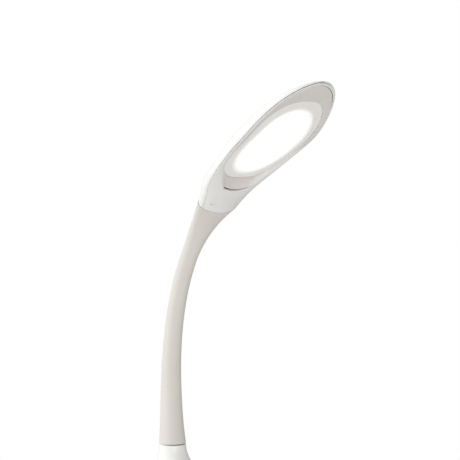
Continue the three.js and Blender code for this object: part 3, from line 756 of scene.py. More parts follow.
def parting_share(x):
    """How far out from the middle line the cover reaches, as a share of the half-width."""
    p = section_power(x)
    full = through(UNDERSIDE_DEPTH, x) + rise(x)
    return (1 - ((rise(x) + PARTING_GAP) / full) ** p) ** (1 / p)


def bezel_half(grow):
    """Half of the bezel's outline, from the slit's middle to the tip, grown outwards a little.

    Returns the points and what places them: angles in the crescent, x at the side, angles
    round the tip.
    """
    start, end = BEZEL_START - grow, BEZEL_END + grow
    crescent = np.radians(np.linspace(0, 90, 61))
    x = BEZEL_ROUND - (BEZEL_ROUND - start) * np.cos(crescent)
    y = (half_width(x) - BEZEL_INSET + grow) * np.sin(crescent)
    side_x = np.linspace(BEZEL_ROUND, HEAD_WIDEST, 36)[1:]
    side_y = half_width(side_x) - BEZEL_INSET + grow
    around = np.linspace(0, math.pi / 2, 61)[1:]
    tip_x = HEAD_WIDEST + (end - HEAD_WIDEST) * np.sin(around)
    tip_y = (HEAD_HALF_WIDTH - BEZEL_INSET + grow) * np.cos(around)
    xs, ys = np.concatenate([x, side_x, tip_x]), np.concatenate([y, side_y, tip_y])
    return np.stack([xs, ys], 1), crescent, side_x, around


def cover_half(grow):
    """The bezel hole's outline and the cover's outer outline, point for point."""
    hole, crescent, side_x, around = bezel_half(grow)
    corner = math.radians(40)
    outer = []
    for a in crescent:
        if a <= corner:
            edge = NECK_HALF_WIDTH * float(parting_share(HEAD_START))
            outer.append((HEAD_START, edge * math.sin(math.pi / 2 * a / corner)))
        else:
            share = ((a - corner) / (math.pi / 2 - corner)) ** 0.5
            x = HEAD_START + (BEZEL_ROUND - HEAD_START) * share
            outer.append((x, float(half_width(x) * parting_share(x))))
    outer += [(x, float(half_width(x) * parting_share(x))) for x in side_x]
    for a in around:
        share = float(parting_share(HEAD_WIDEST))
        x = HEAD_WIDEST + (HEAD_TIP - HEAD_WIDEST) * math.sin(a) * share
        outer.append((x, HEAD_HALF_WIDTH * math.cos(a) * share))
    return hole, np.array(outer)


def mirrored(half):
    """A closed loop from its y >= 0 half, whose two ends lie on y = 0."""
    other = half[1:-1][::-1] * np.array([1, -1])
    return np.concatenate([half, other])


SLIT_GAP = 1.6
EDGE_GAP = 0.06
TIP_GAP = 0.5
SLIT_END = 29  # where the slit has closed
TIP_START = 132  # where the gap round the tip starts to open


def open_share(x):
    """1 where the gap round the bezel is open, in the slit and round the tip, 0 at the sides."""
    return np.maximum(smooth((SLIT_END - x) / 2.5), smooth((x - TIP_START) / 16))


def cover_gap(x):
    """The gap between cover and bezel: an open slit at the neck end, a line round the tip."""
    wide = np.where(x < HEAD_WIDEST, SLIT_GAP, TIP_GAP)
    return EDGE_GAP + (wide - EDGE_GAP) * open_share(x)


def make_cover():
    hole, outer = cover_half(0.0)
    direction = outer - hole
    length = np.linalg.norm(direction, axis=1)[:, None]
    gap = cover_gap(hole[:, 0])[:, None]
    hole = hole + direction / length * gap
    hole[0, 1] = hole[-1, 1] = 0
    outer[0, 1] = outer[-1, 1] = 0
    hole, outer = mirrored(hole), mirrored(outer)
    share = 1 - (1 - np.linspace(0, 1, 34)) ** 2.4
    share = share * (0.35 + 0.65 * np.linspace(0, 1, 34) ** 0.6)
    share /= share[-1]
    plan = hole[:, None] + (outer - hole)[:, None] * share[None, :, None]
    x, y = plan[..., 0], plan[..., 1]
    from_hole = share[None] * np.linalg.norm(outer - hole, axis=1)[:, None]
    softened = 0.05 + 0.35 * open_share(hole[:, 0])[:, None]
    below = underside(x, y) + quarter(from_hole, softened)
    above = np.maximum(underside_inner(x, y), below + 0.02)
    above[:, -1] = underside_inner(x, y)[:, -1]
    below[:, -1] = underside(x, y)[:, -1]
    rows = np.concatenate([np.stack([x, y, below], 2), np.stack([x, y, above], 2)[:, ::-1]], 1)
    cover = skin("head_underside_cover", to_head(rows), wrap_rows=True, sharp=45)
    for side in (-1, 1):
        slot = rounded_box(
            "slot",
            (HEAD_MARK_X, side * HEAD_MARK_Y, mark_height() - 1),
            MARK_SLOT,
            1.3,
            on_skin,
        )
        cut(cover, slot)
    shade(cover, 40)
    dress(cover, COVER_WHITE, "head", ["underside_cover"])


HEAD_MARK_X = 5.5
HEAD_MARK_Y = 13.5
MARK_SLOT = (2.7, 5.4, 4.6)
MARK_CAP = (1.7, 4.6, 0.9)


def mark_height():
    return float(underside(np.array(HEAD_MARK_X), np.array(HEAD_MARK_Y)))


def on_skin(points):
    """Leans points near a screw cap along with the cover's face, then places them."""
    points = np.array(points, float)
    across = np.abs(points[..., 1]) - HEAD_MARK_Y
    near = underside(np.array(HEAD_MARK_X), HEAD_MARK_Y + np.array([-1.0, 1.0]))
    points[..., 2] += across * (near[1] - near[0]) / 2
    return to_head(points)


def make_marks():
    for i, side in enumerate((-1, 1)):
        cap = rounded_box(
            f"screw_cap_piece_{i + 1}",
            (HEAD_MARK_X, side * HEAD_MARK_Y, mark_height() + 1.3),
            MARK_CAP,
            0.8,
            on_skin,
        )
        dress(cap, SATIN_WHITE, "head", [f"screw_cap_{i + 1}"])


def on_rays(loop, angles):
    """The points where a closed loop crosses rays from the diffuser's middle."""
    offset = loop - np.array([DIFFUSER_MID, 0])
    turn = np.unwrap(np.arctan2(offset[:, 1], offset[:, 0]))
    order = np.argsort(turn)
    turn, offset = turn[order], offset[order]
    turn = np.concatenate([turn - TURN, turn, turn + TURN])
    offset = np.concatenate([offset] * 3)
    x = np.interp(angles, turn, offset[:, 0])
    y = np.interp(angles, turn, offset[:, 1])
    return np.stack([DIFFUSER_MID + x, y], 1)


def oval_on_rays(middle, length, width, angles, power):
    around = np.linspace(0, TURN, 1441)[:-1]
    c, s = np.cos(around), np.sin(around)
    c = np.sign(c) * np.abs(c) ** (2 / power)
    s = np.sign(s) * np.abs(s) ** (2 / power)
    return on_rays(np.stack([middle + length * c, width * s], 1), angles)


def diffuser_edge(angles, grow=0.0):
    length, width = DIFFUSER_HALF_LENGTH + grow, DIFFUSER_HALF_WIDTH + grow
    return oval_on_rays(DIFFUSER_MID, length, width, angles, DIFFUSER_POWER)


SCOOP_HALF_WIDTH = 15.5  # at SCOOP_X; the scoop widens from there
SCOOP_X = 28
SCOOP_WIDENING = 0.36
SCOOP_SOFTNESS = 7.0
SHADE_START = 62  # the painted shade on the bezel also comes in from here on, at the sides, growing towards the tip
SHADE_SPAN = 40


def in_scoop(x, y):
    """1 where the bezel's neck end is scooped out, 0 where it carries on the cover."""
    reach = SCOOP_HALF_WIDTH + SCOOP_WIDENING * (x - SCOOP_X) - np.abs(y)
    return smooth(reach / SCOOP_SOFTNESS + 0.5)


def make_bezel():
    angles = np.linspace(0, TURN, 481)[:-1]
    outer = on_rays(mirrored(bezel_half(0.0)[0]), angles)
    inner = diffuser_edge(angles, 0.12)
    span = np.linalg.norm(inner - outer, axis=1)
    scoop = smooth((BEZEL_ROUND + 8 - outer[:, 0]) / 22)
    share = np.linspace(0, 1, 33) ** 1.1
    hollow = 1 - (1 - share) ** 2.2
    late = share**2.6
    rim_drop = RING_DEPTH + 0.25
    softened = 0.05 + 0.35 * open_share(outer[:, 0])
    rows = []
    for k in range(len(angles)):
        plan = outer[k] + (inner[k] - outer[k]) * share[:, None]
        x, y = plan[:, 0], plan[:, 1]
        skin_z = underside(x, y) + 0.5 * float(smooth((SLIT_END - outer[k, 0]) / 3))
        floor_z = parting(x) - rim_drop
        inside = in_scoop(x, y)
        scooped = hollow * inside + late * (1 - inside)
        form = share + (scooped - share) * scoop[k]
        z = skin_z + (floor_z - skin_z) * form
        z = z + quarter(share * span[k], softened[k])
        low = np.concatenate([plan, z[:, None]], 1)
        top = parting(plan[[-1, 0], 0])
        back = np.array(
            [
                [*inner[k], max(top[0] + 0.6, z[-1] + 0.3)],
                [*outer[k], max(top[1] - GAP - 0.1, z[0] + 0.3)],
            ]
        )
        rows.append(np.concatenate([low, back]))
    bezel = skin("head_bezel", to_head(np.array(rows)), wrap_rows=True, sharp=20)
    plan = np.array(rows)[..., :2].reshape(-1, 2)
    # painted shade: grey in the scoop and, from here towards the tip, on the bevel that faces
    # away from the light
    sides = smooth((plan[:, 0] - SHADE_START) / SHADE_SPAN)
    store(bezel, "painted_shade", np.maximum(in_scoop(plan[:, 0], plan[:, 1]), sides))
    dress(bezel, BEZEL_PAINTED_SHADE, "head", ["bezel"])


RECESS = 0.9  # of the lit floor above the border
HALO_REACH = 2.0
BORDER_GLOW = 0.05
LIT_POWER = 2.15
BORDER_STEPS = (0.0, 0.03, 0.08, 0.2, 0.35, 0.5, 0.62, 0.74, 0.84, 0.92, 0.97, 1.0)


def make_diffuser():
    angles = np.linspace(0, TURN, 289)[:-1]
    edge = diffuser_edge(angles)
    lit = oval_on_rays(LIT_MID, LIT_HALF_LENGTH, LIT_HALF_WIDTH, angles, LIT_POWER)
    border = np.linalg.norm(edge - lit, axis=1)
    middle = np.array([LIT_MID, 0.0])
    rows, glow = [], []

    def ring(plan, height, strength):
        rows.append(np.concatenate([plan, (parting(plan[:, 0]) + height)[:, None]], 1))
        glow.append(np.broadcast_to(strength, len(plan)))

    back_height = -RING_DEPTH + RECESS + 0.4
    ring(edge, back_height, 0)
    ring(edge, -RING_DEPTH + 0.3, 0)
    for t in BORDER_STEPS:
        drop = 0.25 * (1 - min(1.0, t / 0.08)) ** 2
        halo = 0.03 * np.maximum(0, 1 - (1 - t) * border / HALO_REACH) ** 2
        ring(edge + (lit - edge) * t, -RING_DEPTH + drop, BORDER_GLOW + halo)
    inwards = middle - lit
    inwards = inwards / np.linalg.norm(inwards, axis=1)[:, None]
    for k in range(1, 13):
        a = k / 12
        wall = lit + inwards * LIT_SLOPE * a
        height = -RING_DEPTH + RECESS * (0.25 * a + 0.75 * smooth(a))
        ring(wall, height, BORDER_GLOW + 0.03 + 0.2 * a**0.9)
    floor_edge = lit + inwards * LIT_SLOPE
    for k in range(1, 26):
        a = k / 25
        plan = middle + (floor_edge - middle) * (1 - 0.998 * a)
        ring(plan, -RING_DEPTH + RECESS, 0.28 + 0.72 * min(1, a * 3.5))
    ring(middle + (edge - middle) * 0.002, back_height, 0)
    ring(floor_edge, back_height, 0)
    points = to_head(np.array(rows))
    count, sides = points.shape[:2]
    faces = grid_faces(count, sides, True, True)
    obj = build("head_diffuser", points.reshape(-1, 3), faces, 30, weld=False)
    store(obj, "glow", np.array(glow))
    dress(obj, GLOWING_OPAL, "head", ["diffuser"])


make_top_shell()
make_cover()
make_marks()
make_bezel()
make_diffuser()

# ---- clip


def superellipse(inset):
    """The housing's outline, pulled in by inset."""
    t = np.arange(240) * TURN / 240

    def squash(v):
        return np.sign(v) * np.abs(v) ** (2 / HOUSING_POWER)

    return np.stack(
        [
            HOUSING_MID_X + (HOUSING_HALF_LENGTH - inset) * squash(np.cos(t)),
            (HOUSING_HALF_WIDTH - inset) * squash(np.sin(t)),
        ],
        1,
    )


def solve(test, low, high, rounds=44):
    """Bisection on arrays: the value where test turns from below zero to above it."""
    low, high = low.copy(), high.copy()
    for _ in range(rounds):
        middle = (low + high) / 2
        above = test(middle) > 0
        high = np.where(above, middle, high)
        low = np.where(above, low, middle)
    return (low + high) / 2


def plan_power(x, y, inset):
    along = np.abs(x - HOUSING_MID_X) / np.maximum(HOUSING_HALF_LENGTH - inset, 1e-6)
    across = np.abs(y) / np.maximum(HOUSING_HALF_WIDTH - inset, 1e-6)
    return along**HOUSING_POWER + across**HOUSING_POWER - 1


def plan_reach(directions, inset):
    """Distance from the neck's axis to the housing's outline in each direction."""

    def test(reach):
        x = NECK_X + reach * np.cos(directions)
        y = reach * np.sin(directions)
        return plan_power(x, y, inset)

    return solve(test, np.zeros_like(directions), np.full_like(directions, 90.0))


def plan_inset(x, y):
    """How far inside the outline a plan point is."""
    deepest = np.full_like(x, HOUSING_HALF_WIDTH - 0.01)
    return solve(lambda i: plan_power(x, y, i), np.zeros_like(x), deepest)


def trumpet_height(x, y):
    """Height of the collar's trumpet over a plan point."""

    def test(depth):
        away = np.hypot(x - NECK_X - COLLAR_LEAN * depth**2, y)
        return COLLAR_RADIUS + COLLAR_SPREAD * depth**2 - away

    return COLLAR_TOP - solve(test, np.zeros_like(x), np.full_like(x, 90.0))


def smooth_max(a, b, k):
    return np.maximum(a, b) + np.maximum(k - np.abs(a - b), 0) ** 2 / (4 * k)


def make_housing():
    sides = 220
    directions = np.arange(sides) * TURN / sides
    reach = plan_reach(directions, 0.0)
    inner_reach = plan_reach(directions, WALL)
    wall_top = HOUSING_TOP - SHOULDER
    u = crowded(0, 1, 900)
    rho = COLLAR_RADIUS + (reach - COLLAR_RADIUS)[:, None] * u
    x = NECK_X + rho * np.cos(directions)[:, None]
    y = rho * np.sin(directions)[:, None]
    inset = plan_inset(x, y)
    raised = smooth_max(trumpet_height(x, y), np.full_like(x, HOUSING_TOP), 7.0)
    short = np.clip(SHOULDER - inset, 0, SHOULDER) / SHOULDER
    z = wall_top + (raised - wall_top) * np.sqrt(1 - short**2)

    inner_u = crowded(0, 1, 300)
    inner_rho = inner_reach[:, None] + (FERRULE_HOLE - inner_reach)[:, None] * inner_u
    xi = NECK_X + inner_rho * np.cos(directions)[:, None]
    yi = inner_rho * np.sin(directions)[:, None]
    deeper = np.clip(plan_inset(xi, yi) - WALL, 0, None)
    lifted = inner_rho + 3.0
    throat = trumpet_height(
        NECK_X + lifted * np.cos(directions)[:, None], lifted * np.sin(directions)[:, None]
    )
    roof = np.clip(throat, HOUSING_TOP - WALL, COLLAR_TOP - 12)
    inner_shoulder = SHOULDER - WALL
    short = np.clip(inner_shoulder - deeper, 0, inner_shoulder) / inner_shoulder
    zi = wall_top + (roof - wall_top) * np.sqrt(1 - short**2)

    corner = np.linspace(0, math.pi / 2, 7)
    rim = 0.6
    rows = []
    for k in range(sides):
        top = [[FERRULE_HOLE, COLLAR_TOP]]
        top += [
            [COLLAR_RADIUS - rim + rim * math.sin(a), COLLAR_TOP - rim + rim * math.cos(a)]
            for a in corner
        ]
        keep = z[k] < COLLAR_TOP - rim
        outside = np.stack([rho[k][keep], z[k][keep]], 1)
        foot = 1.0
        wall = [[reach[k], HOUSING_BOTTOM + foot + 1]]
        wall += [
            [reach[k] - foot + foot * math.cos(a), HOUSING_BOTTOM + foot - foot * math.sin(a)]
            for a in corner
        ]
        line = np.concatenate(
            [
                np.array(top),
                resample(outside, 104)[1:],
                np.array(wall),
                [[inner_reach[k], HOUSING_BOTTOM]],
                resample(np.stack([inner_rho[k], zi[k]], 1), 60),
            ]
        )
        c, s = math.cos(directions[k]), math.sin(directions[k])
        rows.append(np.stack([NECK_X + line[:, 0] * c, line[:, 0] * s, line[:, 1]], 1))
    housing = skin("clip_housing", rows, wrap_rows=True, sharp=40)

    seat = BUTTON_RADIUS + GAP
    top = HOUSING_TOP
    hole = [
        [0, 20],
        [seat, 20],
        [seat, top - 1.0],
        [seat + 0.2, top - 0.6],
        [seat + 0.9, top + 0.1],
        [seat + 2.5, top + 1.2],
        [0, top + 1.2],
    ]
    cut(housing, lathe("hole", hole, BUTTON_X, 0, 96))
    hole = [[0, 20], [1.35, 20], [1.35, 26.7], [2.2, 27.4], [0, 28]]
    cut(housing, lathe("hole", hole, LENS_X, 0, 40))
    cut(housing, stadium("hole", REAR_X - 2, REAR_X + 6, 4.9, 2.0, SOCKET_Z))
    cut(housing, stadium("hole", REAR_X - 2, REAR_X + 1.0, 5.6, 2.7, SOCKET_Z))
    shade(housing, 34)
    dress(housing, GLOSS_WHITE, "clip", ["upper_housing"])


def stadium_ring(x, half_long, half_high, z, steps=12):
    """A stadium outline in the y-z plane."""
    flat = half_long - half_high
    points = []
    for sign, start in ((1, -90), (-1, 90)):
        for k in range(steps + 1):
            a = math.radians(start + 180 * k / steps)
            points.append((x, sign * flat + half_high * math.cos(a), z + half_high * math.sin(a)))
    return points


def stadium(name, x0, x1, half_long, half_high, z):
    return skin(name, [stadium_ring(x, half_long, half_high, z) for x in (x0, x1)])


SCREW_SPOTS = [(REAR_X + 12, 17), (REAR_X + 12, -17), (FRONT_X - 9, 14), (FRONT_X - 9, -14)]
LUG_RADIUS = 5.2
PIN_RADIUS = 2.0


def lug(name, y0, y1, rise, radius=LUG_RADIUS):
    """An ear about the hinge axis, between y0 and y1, that reaches up or down by rise."""
    soft = 0.5

    def outline(r):
        half = [(r * math.cos(a), r * math.sin(a)) for a in np.linspace(math.pi, TURN, 33)]
        if rise < 0:
            half = [(-p, -q) for p, q in half]
        return [(-r if rise > 0 else r, rise)] + half + [(r if rise > 0 else -r, rise)]

    rows = []
    for inset, y in ((soft, y0), (soft * 0.3, y0 + 0.15), (0, y0 + soft), (0, y1 - soft),
                     (soft * 0.3, y1 - 0.15), (soft, y1)):
        rows.append([(HINGE_X + p, y, HINGE_Z + q) for p, q in outline(radius - inset)])
    return skin(name, rows)


def turned(name, profile, sides=64):
    """A profile of (radius, y) turned about the hinge axis."""
    angles = np.arange(sides) * TURN / sides
    c, s = np.cos(angles), np.sin(angles)
    rows = [
        np.stack([HINGE_X + r * c, np.full(sides, y), HINGE_Z + r * s], 1) for r, y in profile
    ]
    return skin(name, rows)


def axle(name, radius, y0, y1):
    return turned(name, [(radius, y0), (radius, y1)])


def plan_half_width(inset):
    def width(x):
        t = np.clip(np.abs(x - HOUSING_MID_X) / (HOUSING_HALF_LENGTH - inset), 0, 1)
        return (HOUSING_HALF_WIDTH - inset) * (1 - t**HOUSING_POWER) ** (1 / HOUSING_POWER)

    return width


def make_floor():
    inset = 0.6
    xs = crowded(REAR_X + inset + 0.001, FRONT_X - inset - 0.001, 150)
    outline = superellipse(inset)
    floor = sliced(
        "clip_floor",
        xs,
        plan_half_width(inset),
        lambda x, y: FLOOR_UNDERSIDE + quarter(edge_distance(x, y, outline), 1.1),
        lambda x, y: np.full_like(x, FLOOR_TOP),
        sharp=40,
    )
    for side in (-1, 1):
        y0, y1 = sorted((side * 14, side * 18))
        join(floor, lug("ear", y0, y1, FLOOR_UNDERSIDE + 1.2 - HINGE_Z))
    cut(floor, axle("bore", PIN_RADIUS + 0.08, -30, 30))
    for x, y in SCREW_SPOTS:
        profile = [[0, 0], [2.9, 0], [2.9, 3.0], [2.65, 3.25]]
        profile += [[2.65, 4.4], [1.6, 4.4], [1.6, 8], [0, 8]]
        cut(floor, lathe("hole", profile, x, y, 40))
    shade(floor, 34)
    dress(floor, SATIN_WHITE, "clip", ["housing_floor"])


def make_floor_screws():
    for i, (x, y) in enumerate(SCREW_SPOTS):
        z = FLOOR_UNDERSIDE + 0.15
        profile = [[0, z], [1.7, z], [2.15, z + 0.12], [2.38, z + 0.4]]
        profile += [[2.38, z + 0.95], [1.3, z + 0.95]]
        for k in range(14):  # the thread
            base = z + 1.4 + 0.55 * k
            profile += [[1.05, base], [1.3, base + 0.27]]
        profile += [[0.9, 13.0], [0, 13.0]]
        screw = lathe(f"floor_screw_piece_{i + 1}", profile, x, y, 32)
        for turn in (0, 1):
            size = (2.6, 0.62, 1.3) if turn == 0 else (0.62, 2.6, 1.3)
            cut(screw, rounded_box("slot", (x, y, z), size, 0.2))
        shade(screw, 34)
        dress(screw, STEEL, "clip", [f"floor_screw_{i + 1}"])


def pad_half_width(x):
    corner = 4.0
    over = np.clip(np.abs(x) - (20 - corner), 0, corner)
    square = 22 - (corner - np.sqrt(np.maximum(corner**2 - over**2, 0)))
    return np.maximum(0.3, np.minimum(square, plan_half_width(3.0)(x)))


def make_pad(name, low, ribs_up, body, node):
    x_end = FRONT_X - 3.02
    middle = np.linspace(-18, x_end - 1.5, 150)
    ends = crowded(-20, -18, 12)[:-1], crowded(x_end - 1.5, x_end, 12)[1:]
    xs = np.concatenate([ends[0], middle, ends[1]])
    upper = pad_half_width(xs)
    outline = np.concatenate([np.stack([xs, upper], 1), np.stack([xs, -upper], 1)[::-1]])

    def groove(x, y):
        ends = smooth((edge_distance(x, y, outline) - 1.2) / 0.6)
        wave = np.abs((x + 200) / 3.2 % 1 - 0.5)
        return 0.45 * smooth((0.2 - wave) / 0.1) * ends

    def low_face(x, y):
        z = low + quarter(edge_distance(x, y, outline), 0.5)
        return z if ribs_up else z + groove(x, y)

    def high_face(x, y):
        z = low + PAD_THICKNESS - quarter(edge_distance(x, y, outline), 0.5)
        return z - groove(x, y) if ribs_up else z

    pad = sliced(name, xs, pad_half_width, low_face, high_face, across=61, sharp=60)
    dress(pad, PAD_RUBBER, body, [node])


def make_button():
    t = HOUSING_TOP
    r = BUTTON_RADIUS
    profile = [[0, 20.2], [r - 2, 20.2], [r - 0.2, 21.4], [r, 21.8], [r, t + 0.75]]
    for a in np.linspace(0, math.pi / 2, 9)[1:]:
        profile.append([r - 0.9 + 0.9 * math.cos(a), t + 0.75 + 0.9 * math.sin(a)])
    for q in np.linspace(0.82, 0, 22):  # a dished top with a fine raised ring in it
        radius = r * q
        dish = 0.55 * (1 - (q / 0.86) ** 2)
        ring = 0.16 * math.exp(-(((radius - 2.3) / 0.28) ** 2))
        profile.append([radius, t + 1.65 - dish + ring])
    button = lathe("power_button_piece", profile, BUTTON_X, 0, 96, sharp=40)
    dress(button, SATIN_WHITE, "button", ["power_button"])


def make_lens():
    profile = [[0, 19.2], [1.1, 19.2], [1.1, HOUSING_TOP - 0.1]]
    for a in np.linspace(0, math.pi / 2, 7)[1:]:
        profile.append([1.1 * math.cos(a), HOUSING_TOP - 0.1 + 0.3 * math.sin(a)])
    lens = lathe("indicator_lens_piece", profile, LENS_X, 0, 40)
    dress(lens, OPAL, "clip", ["indicator_lens"])


def make_socket():
    x0, x1 = REAR_X + 1.0, REAR_X + 9.0
    rows = []
    for x, long, high in (
        (x0 + 0.15, 4.6, 1.7), (x1 - 0.2, 4.6, 1.7), (x1, 4.4, 1.5), (x1, 0.6, 0.3),
        (x1 - 1.0, 0.6, 0.3), (x1 - 1.0, 4.2, 1.3), (x0 + 0.2, 4.2, 1.3), (x0, 4.28, 1.4),
        (x0, 4.5, 1.6),
    ):
        rows.append(stadium_ring(x, long, high, SOCKET_Z, 16))
    shell = skin("charging_socket_piece", rows, wrap_rows=True, sharp=40)
    tongue = rounded_box("tongue", (x0 + 4.2, 0, SOCKET_Z), (6.4, 6.4, 0.7), 0.3)
    join(shell, tongue)
    shade(shell, 34)
    dress(shell, STEEL, "clip", ["charging_socket"])


PIN_END = 19.0
PIN_TIP_RADIUS = 1.55


def make_pin():
    half = [(PIN_RADIUS, PIN_END - 0.45), (PIN_TIP_RADIUS, PIN_END)]
    pin = turned("hinge_pin_piece", [(r, -y) for r, y in half[::-1]] + half, 48)
    dress(pin, STEEL, "clip", ["hinge_pin"])


SPRING_RADIUS = 3.6
SPRING_WIRE = 0.7
SPRING_WIDTH = 10.0
SPRING_LEG = 16.0


def make_spring():
    start, end = math.radians(85), math.radians(-75 - 3 * 360)
    angles = np.linspace(start, end, 260)
    share = np.linspace(0, 1, 260)
    coil = np.stack(
        [
            HINGE_X + SPRING_RADIUS * np.cos(angles),
            SPRING_WIDTH * (share - 0.5),
            HINGE_Z + SPRING_RADIUS * np.sin(angles),
        ],
        1,
    )

    def leg(foot, angle):
        along = np.array([-abs(math.sin(angle)), 0, math.cos(angle)])
        if math.sin(angle) < 0:
            along[2] = -math.cos(angle)
        reach = np.linspace(1, 0, 24)[:-1]
        return foot + along * (SPRING_LEG * reach)[:, None]

    first = leg(coil[0], start)
    last = leg(coil[-1], end)[::-1]
    spring = tube("torsion_spring_piece", np.concatenate([first, coil, last]), SPRING_WIRE, 16)
    spring.data.materials.append(SPRING_STEEL)
    remember_rest(spring)
    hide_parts("torsion_spring")
    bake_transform(spring)


def make_jaw():
    inset = 1.5
    outline = superellipse(inset)
    top_line = np.array(
        [(-88, -24.2), (-86.5, -23.5), (-54, -6.2), (-50, JAW_TOP), (24, JAW_TOP)]
    )
    low_line = np.array(
        [(-88, -26.6), (-85.5, -28.3), (-81, -27.3), (-70, -20.8), (-59, -14.2), (-50, -12.2),
         (-36, -11.2), (-10, -9.6), (12, -8.2), (19, -7.6), (24, -6.6)]
    )

    def low_face(x, y):
        z = np.interp(x, low_line[:, 0], low_line[:, 1])
        ribs = smooth((x + 85) / 2) * smooth((-66 - x) / 2) * smooth((19 - np.abs(y)) / 2)
        z = z + 0.55 * ribs * (0.5 - 0.5 * np.cos(TURN * (x + 85) / 3.0))
        return z + quarter(edge_distance(x, y, outline), 2.2)

    def high_face(x, y):
        z = np.interp(x, top_line[:, 0], top_line[:, 1])
        return z - quarter(edge_distance(x, y, outline), 0.8)

    xs = np.concatenate(
        [
            crowded(REAR_X + inset + 0.01, REAR_X + 5, 14)[:-1],
            np.linspace(REAR_X + 5, -62, 76)[:-1],
            np.linspace(-62, FRONT_X - 5, 84)[:-1],
            crowded(FRONT_X - 5, FRONT_X - inset - 0.01, 14),
        ]
    )
    jaw = sliced("clip_jaw", xs, plan_half_width(inset), low_face, high_face, across=57, sharp=40)
    for side in (-1, 1):
        y0, y1 = sorted((side * 13.7, side * 18.3))
        cut(jaw, axle("notch", LUG_RADIUS + 0.5, y0, y1))
    cut(jaw, axle("well", LUG_RADIUS + 0.9, -9, 9))
    bay = [
        [(HINGE_X + 3, y, 5), (HINGE_X - 17, y, 5), (HINGE_X - 17, y, HINGE_Z - 9.2),
         (HINGE_X + 3, y, HINGE_Z - 5.4)]
        for y in (-9, 9)
    ]
    cut(jaw, skin("bay", bay))
    for side in (-1, 1):
        y0, y1 = sorted((side * 9.05, side * 13.6))
        join(jaw, lug("ear", y0, y1, -6.5))
    cut(jaw, axle("bore", PIN_RADIUS + 0.12, -30, 30))
    shade(jaw, 34)
    dress(jaw, GLOSS_WHITE, "jaw", ["lower_jaw"])


make_housing()
make_floor()
make_floor_screws()
make_pad("upper_pad_piece", 0.0, False, "clip", "upper_pad")
make_pad("lower_pad_piece", -JAW_GAP - PAD_THICKNESS, True, "jaw", "lower_pad")
make_button()
make_lens()
make_socket()
make_pin()
make_spring()
make_jaw()

# ---- solids kept as they are

KEPT = {
    "battery_cell": CELL_BLUE,
    "control_board": BOARD_GREEN,
    "lower_ferrule": STEEL,
    "ferrule_nut": STEEL,
    "upper_ferrule": STEEL,
    "neck_clamp": ALUMINIUM,
    "heat_spreader": ALUMINIUM,
    "reflector_tray": SATIN_WHITE,
    "led_board": BOARD_WHITE,
    "head_screw_1": STEEL,
    "head_screw_2": STEEL,
}
for k in range(PIVOTS + 1):
    KEPT[f"neck_core_{k}"] = STEEL
    KEPT[f"neck_wire_{k}"] = WIRE_RED
for node, mat in KEPT.items():
    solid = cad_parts[node]
    solid.data.materials.clear()
    solid.data.materials.append(mat)
    edges = solid.modifiers.new("soft_edges", "BEVEL")
    edges.width = 0.00015
    edges.segments = 2
    edges.limit_method = "ANGLE"
    edges.angle_limit = math.radians(50)

# ---- floor and light

FLOOR_Z = cad_low.z - 0.0002
FLOOR_RADIUS = 0.42
FADE_START = 0.14  # from here outwards the floor turns clear


def make_stage():
    rings = [0, 0.1, 0.2, 0.3, FLOOR_RADIUS]
    sides = 96
    angles = np.arange(sides) * TURN / sides
    rows = [
        np.stack([r * np.cos(angles), r * np.sin(angles), np.full(sides, FLOOR_Z)], 1) / MM
        for r in rings
    ]
    mesh = bpy.data.meshes.new("studio_floor")
    points = np.array(rows).reshape(-1, 3) * MM
    mesh.from_pydata([tuple(p) for p in points], [], grid_faces(len(rings), sides, False, True))
    floor = add_object("studio_floor", mesh)
    mat, nodes, links, shader = new_material("floor_pale")
    set_sockets(shader, {"Base Color": (0.86, 0.86, 0.86, 1), "Roughness": 0.9})
    place = nodes.new("ShaderNodeTexCoord")
    length = nodes.new("ShaderNodeVectorMath")
    length.operation = "LENGTH"
    links.new(place.outputs["Object"], length.inputs[0])
    fade = nodes.new("ShaderNodeMapRange")
    fade.interpolation_type = "SMOOTHSTEP"
    set_sockets(fade, {"From Min": FADE_START, "From Max": FLOOR_RADIUS - 0.01})
    links.new(length.outputs["Value"], fade.inputs["Value"])
    clear = nodes.new("ShaderNodeBsdfTransparent")
    mix = nodes.new("ShaderNodeMixShader")
    links.new(fade.outputs["Result"], mix.inputs["Fac"])
    links.new(shader.outputs["BSDF"], mix.inputs[1])
    links.new(clear.outputs["BSDF"], mix.inputs[2])
    links.new(mix.outputs["Shader"], nodes["Material Output"].inputs["Surface"])
    floor.data.materials.append(mat)


WORLD_LIGHT = 0.7
DIM_SIDE = (0.62, 0.78, 0.12)  # the direction that the light is dimmer from
DIM_COLOUR = (0.46, 0.45, 0.43)


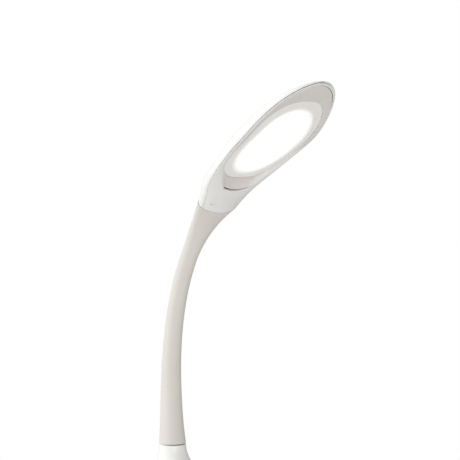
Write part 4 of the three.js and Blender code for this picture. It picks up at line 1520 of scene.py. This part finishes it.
def make_world():
    """White behind everything; the light that it gives is softer, and dimmer from the right."""
    world = bpy.data.worlds.new("studio")
    bpy.context.scene.world = world
    world.use_nodes = True
    nodes, links = world.node_tree.nodes, world.node_tree.links
    nodes.clear()
    out = nodes.new("ShaderNodeOutputWorld")
    seen = nodes.new("ShaderNodeBackground")
    set_sockets(seen, {"Color": (1, 1, 1, 1), "Strength": 1.0})
    light = nodes.new("ShaderNodeBackground")
    set_sockets(light, {"Strength": WORLD_LIGHT})
    place = nodes.new("ShaderNodeTexCoord")
    side = nodes.new("ShaderNodeVectorMath")
    side.operation = "DOT_PRODUCT"
    side.inputs[1].default_value = DIM_SIDE
    links.new(place.outputs["Generated"], side.inputs[0])
    ramp = nodes.new("ShaderNodeValToRGB")
    set_ramp(ramp, (0.0, 1.0), ((1.0, 1.0, 1.0), DIM_COLOUR))
    span = nodes.new("ShaderNodeMapRange")
    set_sockets(span, {"From Min": -0.6, "From Max": 0.9})
    links.new(side.outputs["Value"], span.inputs["Value"])
    links.new(span.outputs["Result"], ramp.inputs["Fac"])
    links.new(ramp.outputs["Color"], light.inputs["Color"])
    path = nodes.new("ShaderNodeLightPath")
    mix = nodes.new("ShaderNodeMixShader")
    links.new(path.outputs["Is Camera Ray"], mix.inputs["Fac"])
    links.new(light.outputs["Background"], mix.inputs[1])
    links.new(seen.outputs["Background"], mix.inputs[2])
    links.new(mix.outputs["Shader"], out.inputs["Surface"])


def area_light(name, place, target, size, power):
    data = bpy.data.lights.new(name, "AREA")
    data.shape = "DISK"
    data.size = size
    data.energy = power
    light = add_object(name, data)
    aim(light, place, Vector(target) - Vector(place))
    light.visible_camera = False


make_stage()
make_world()
area_light("key", (-1.2, -1.4, 1.5), (0, 0, 0.2), 1.0, 28)
area_light("fill", (1.5, -0.6, 0.05), (0, 0, 0.25), 1.4, 10)

scene = bpy.context.scene
scene.view_settings.view_transform = "Standard"
scene.view_settings.look = "None"
scene.view_settings.exposure = 0
scene.view_settings.gamma = 1
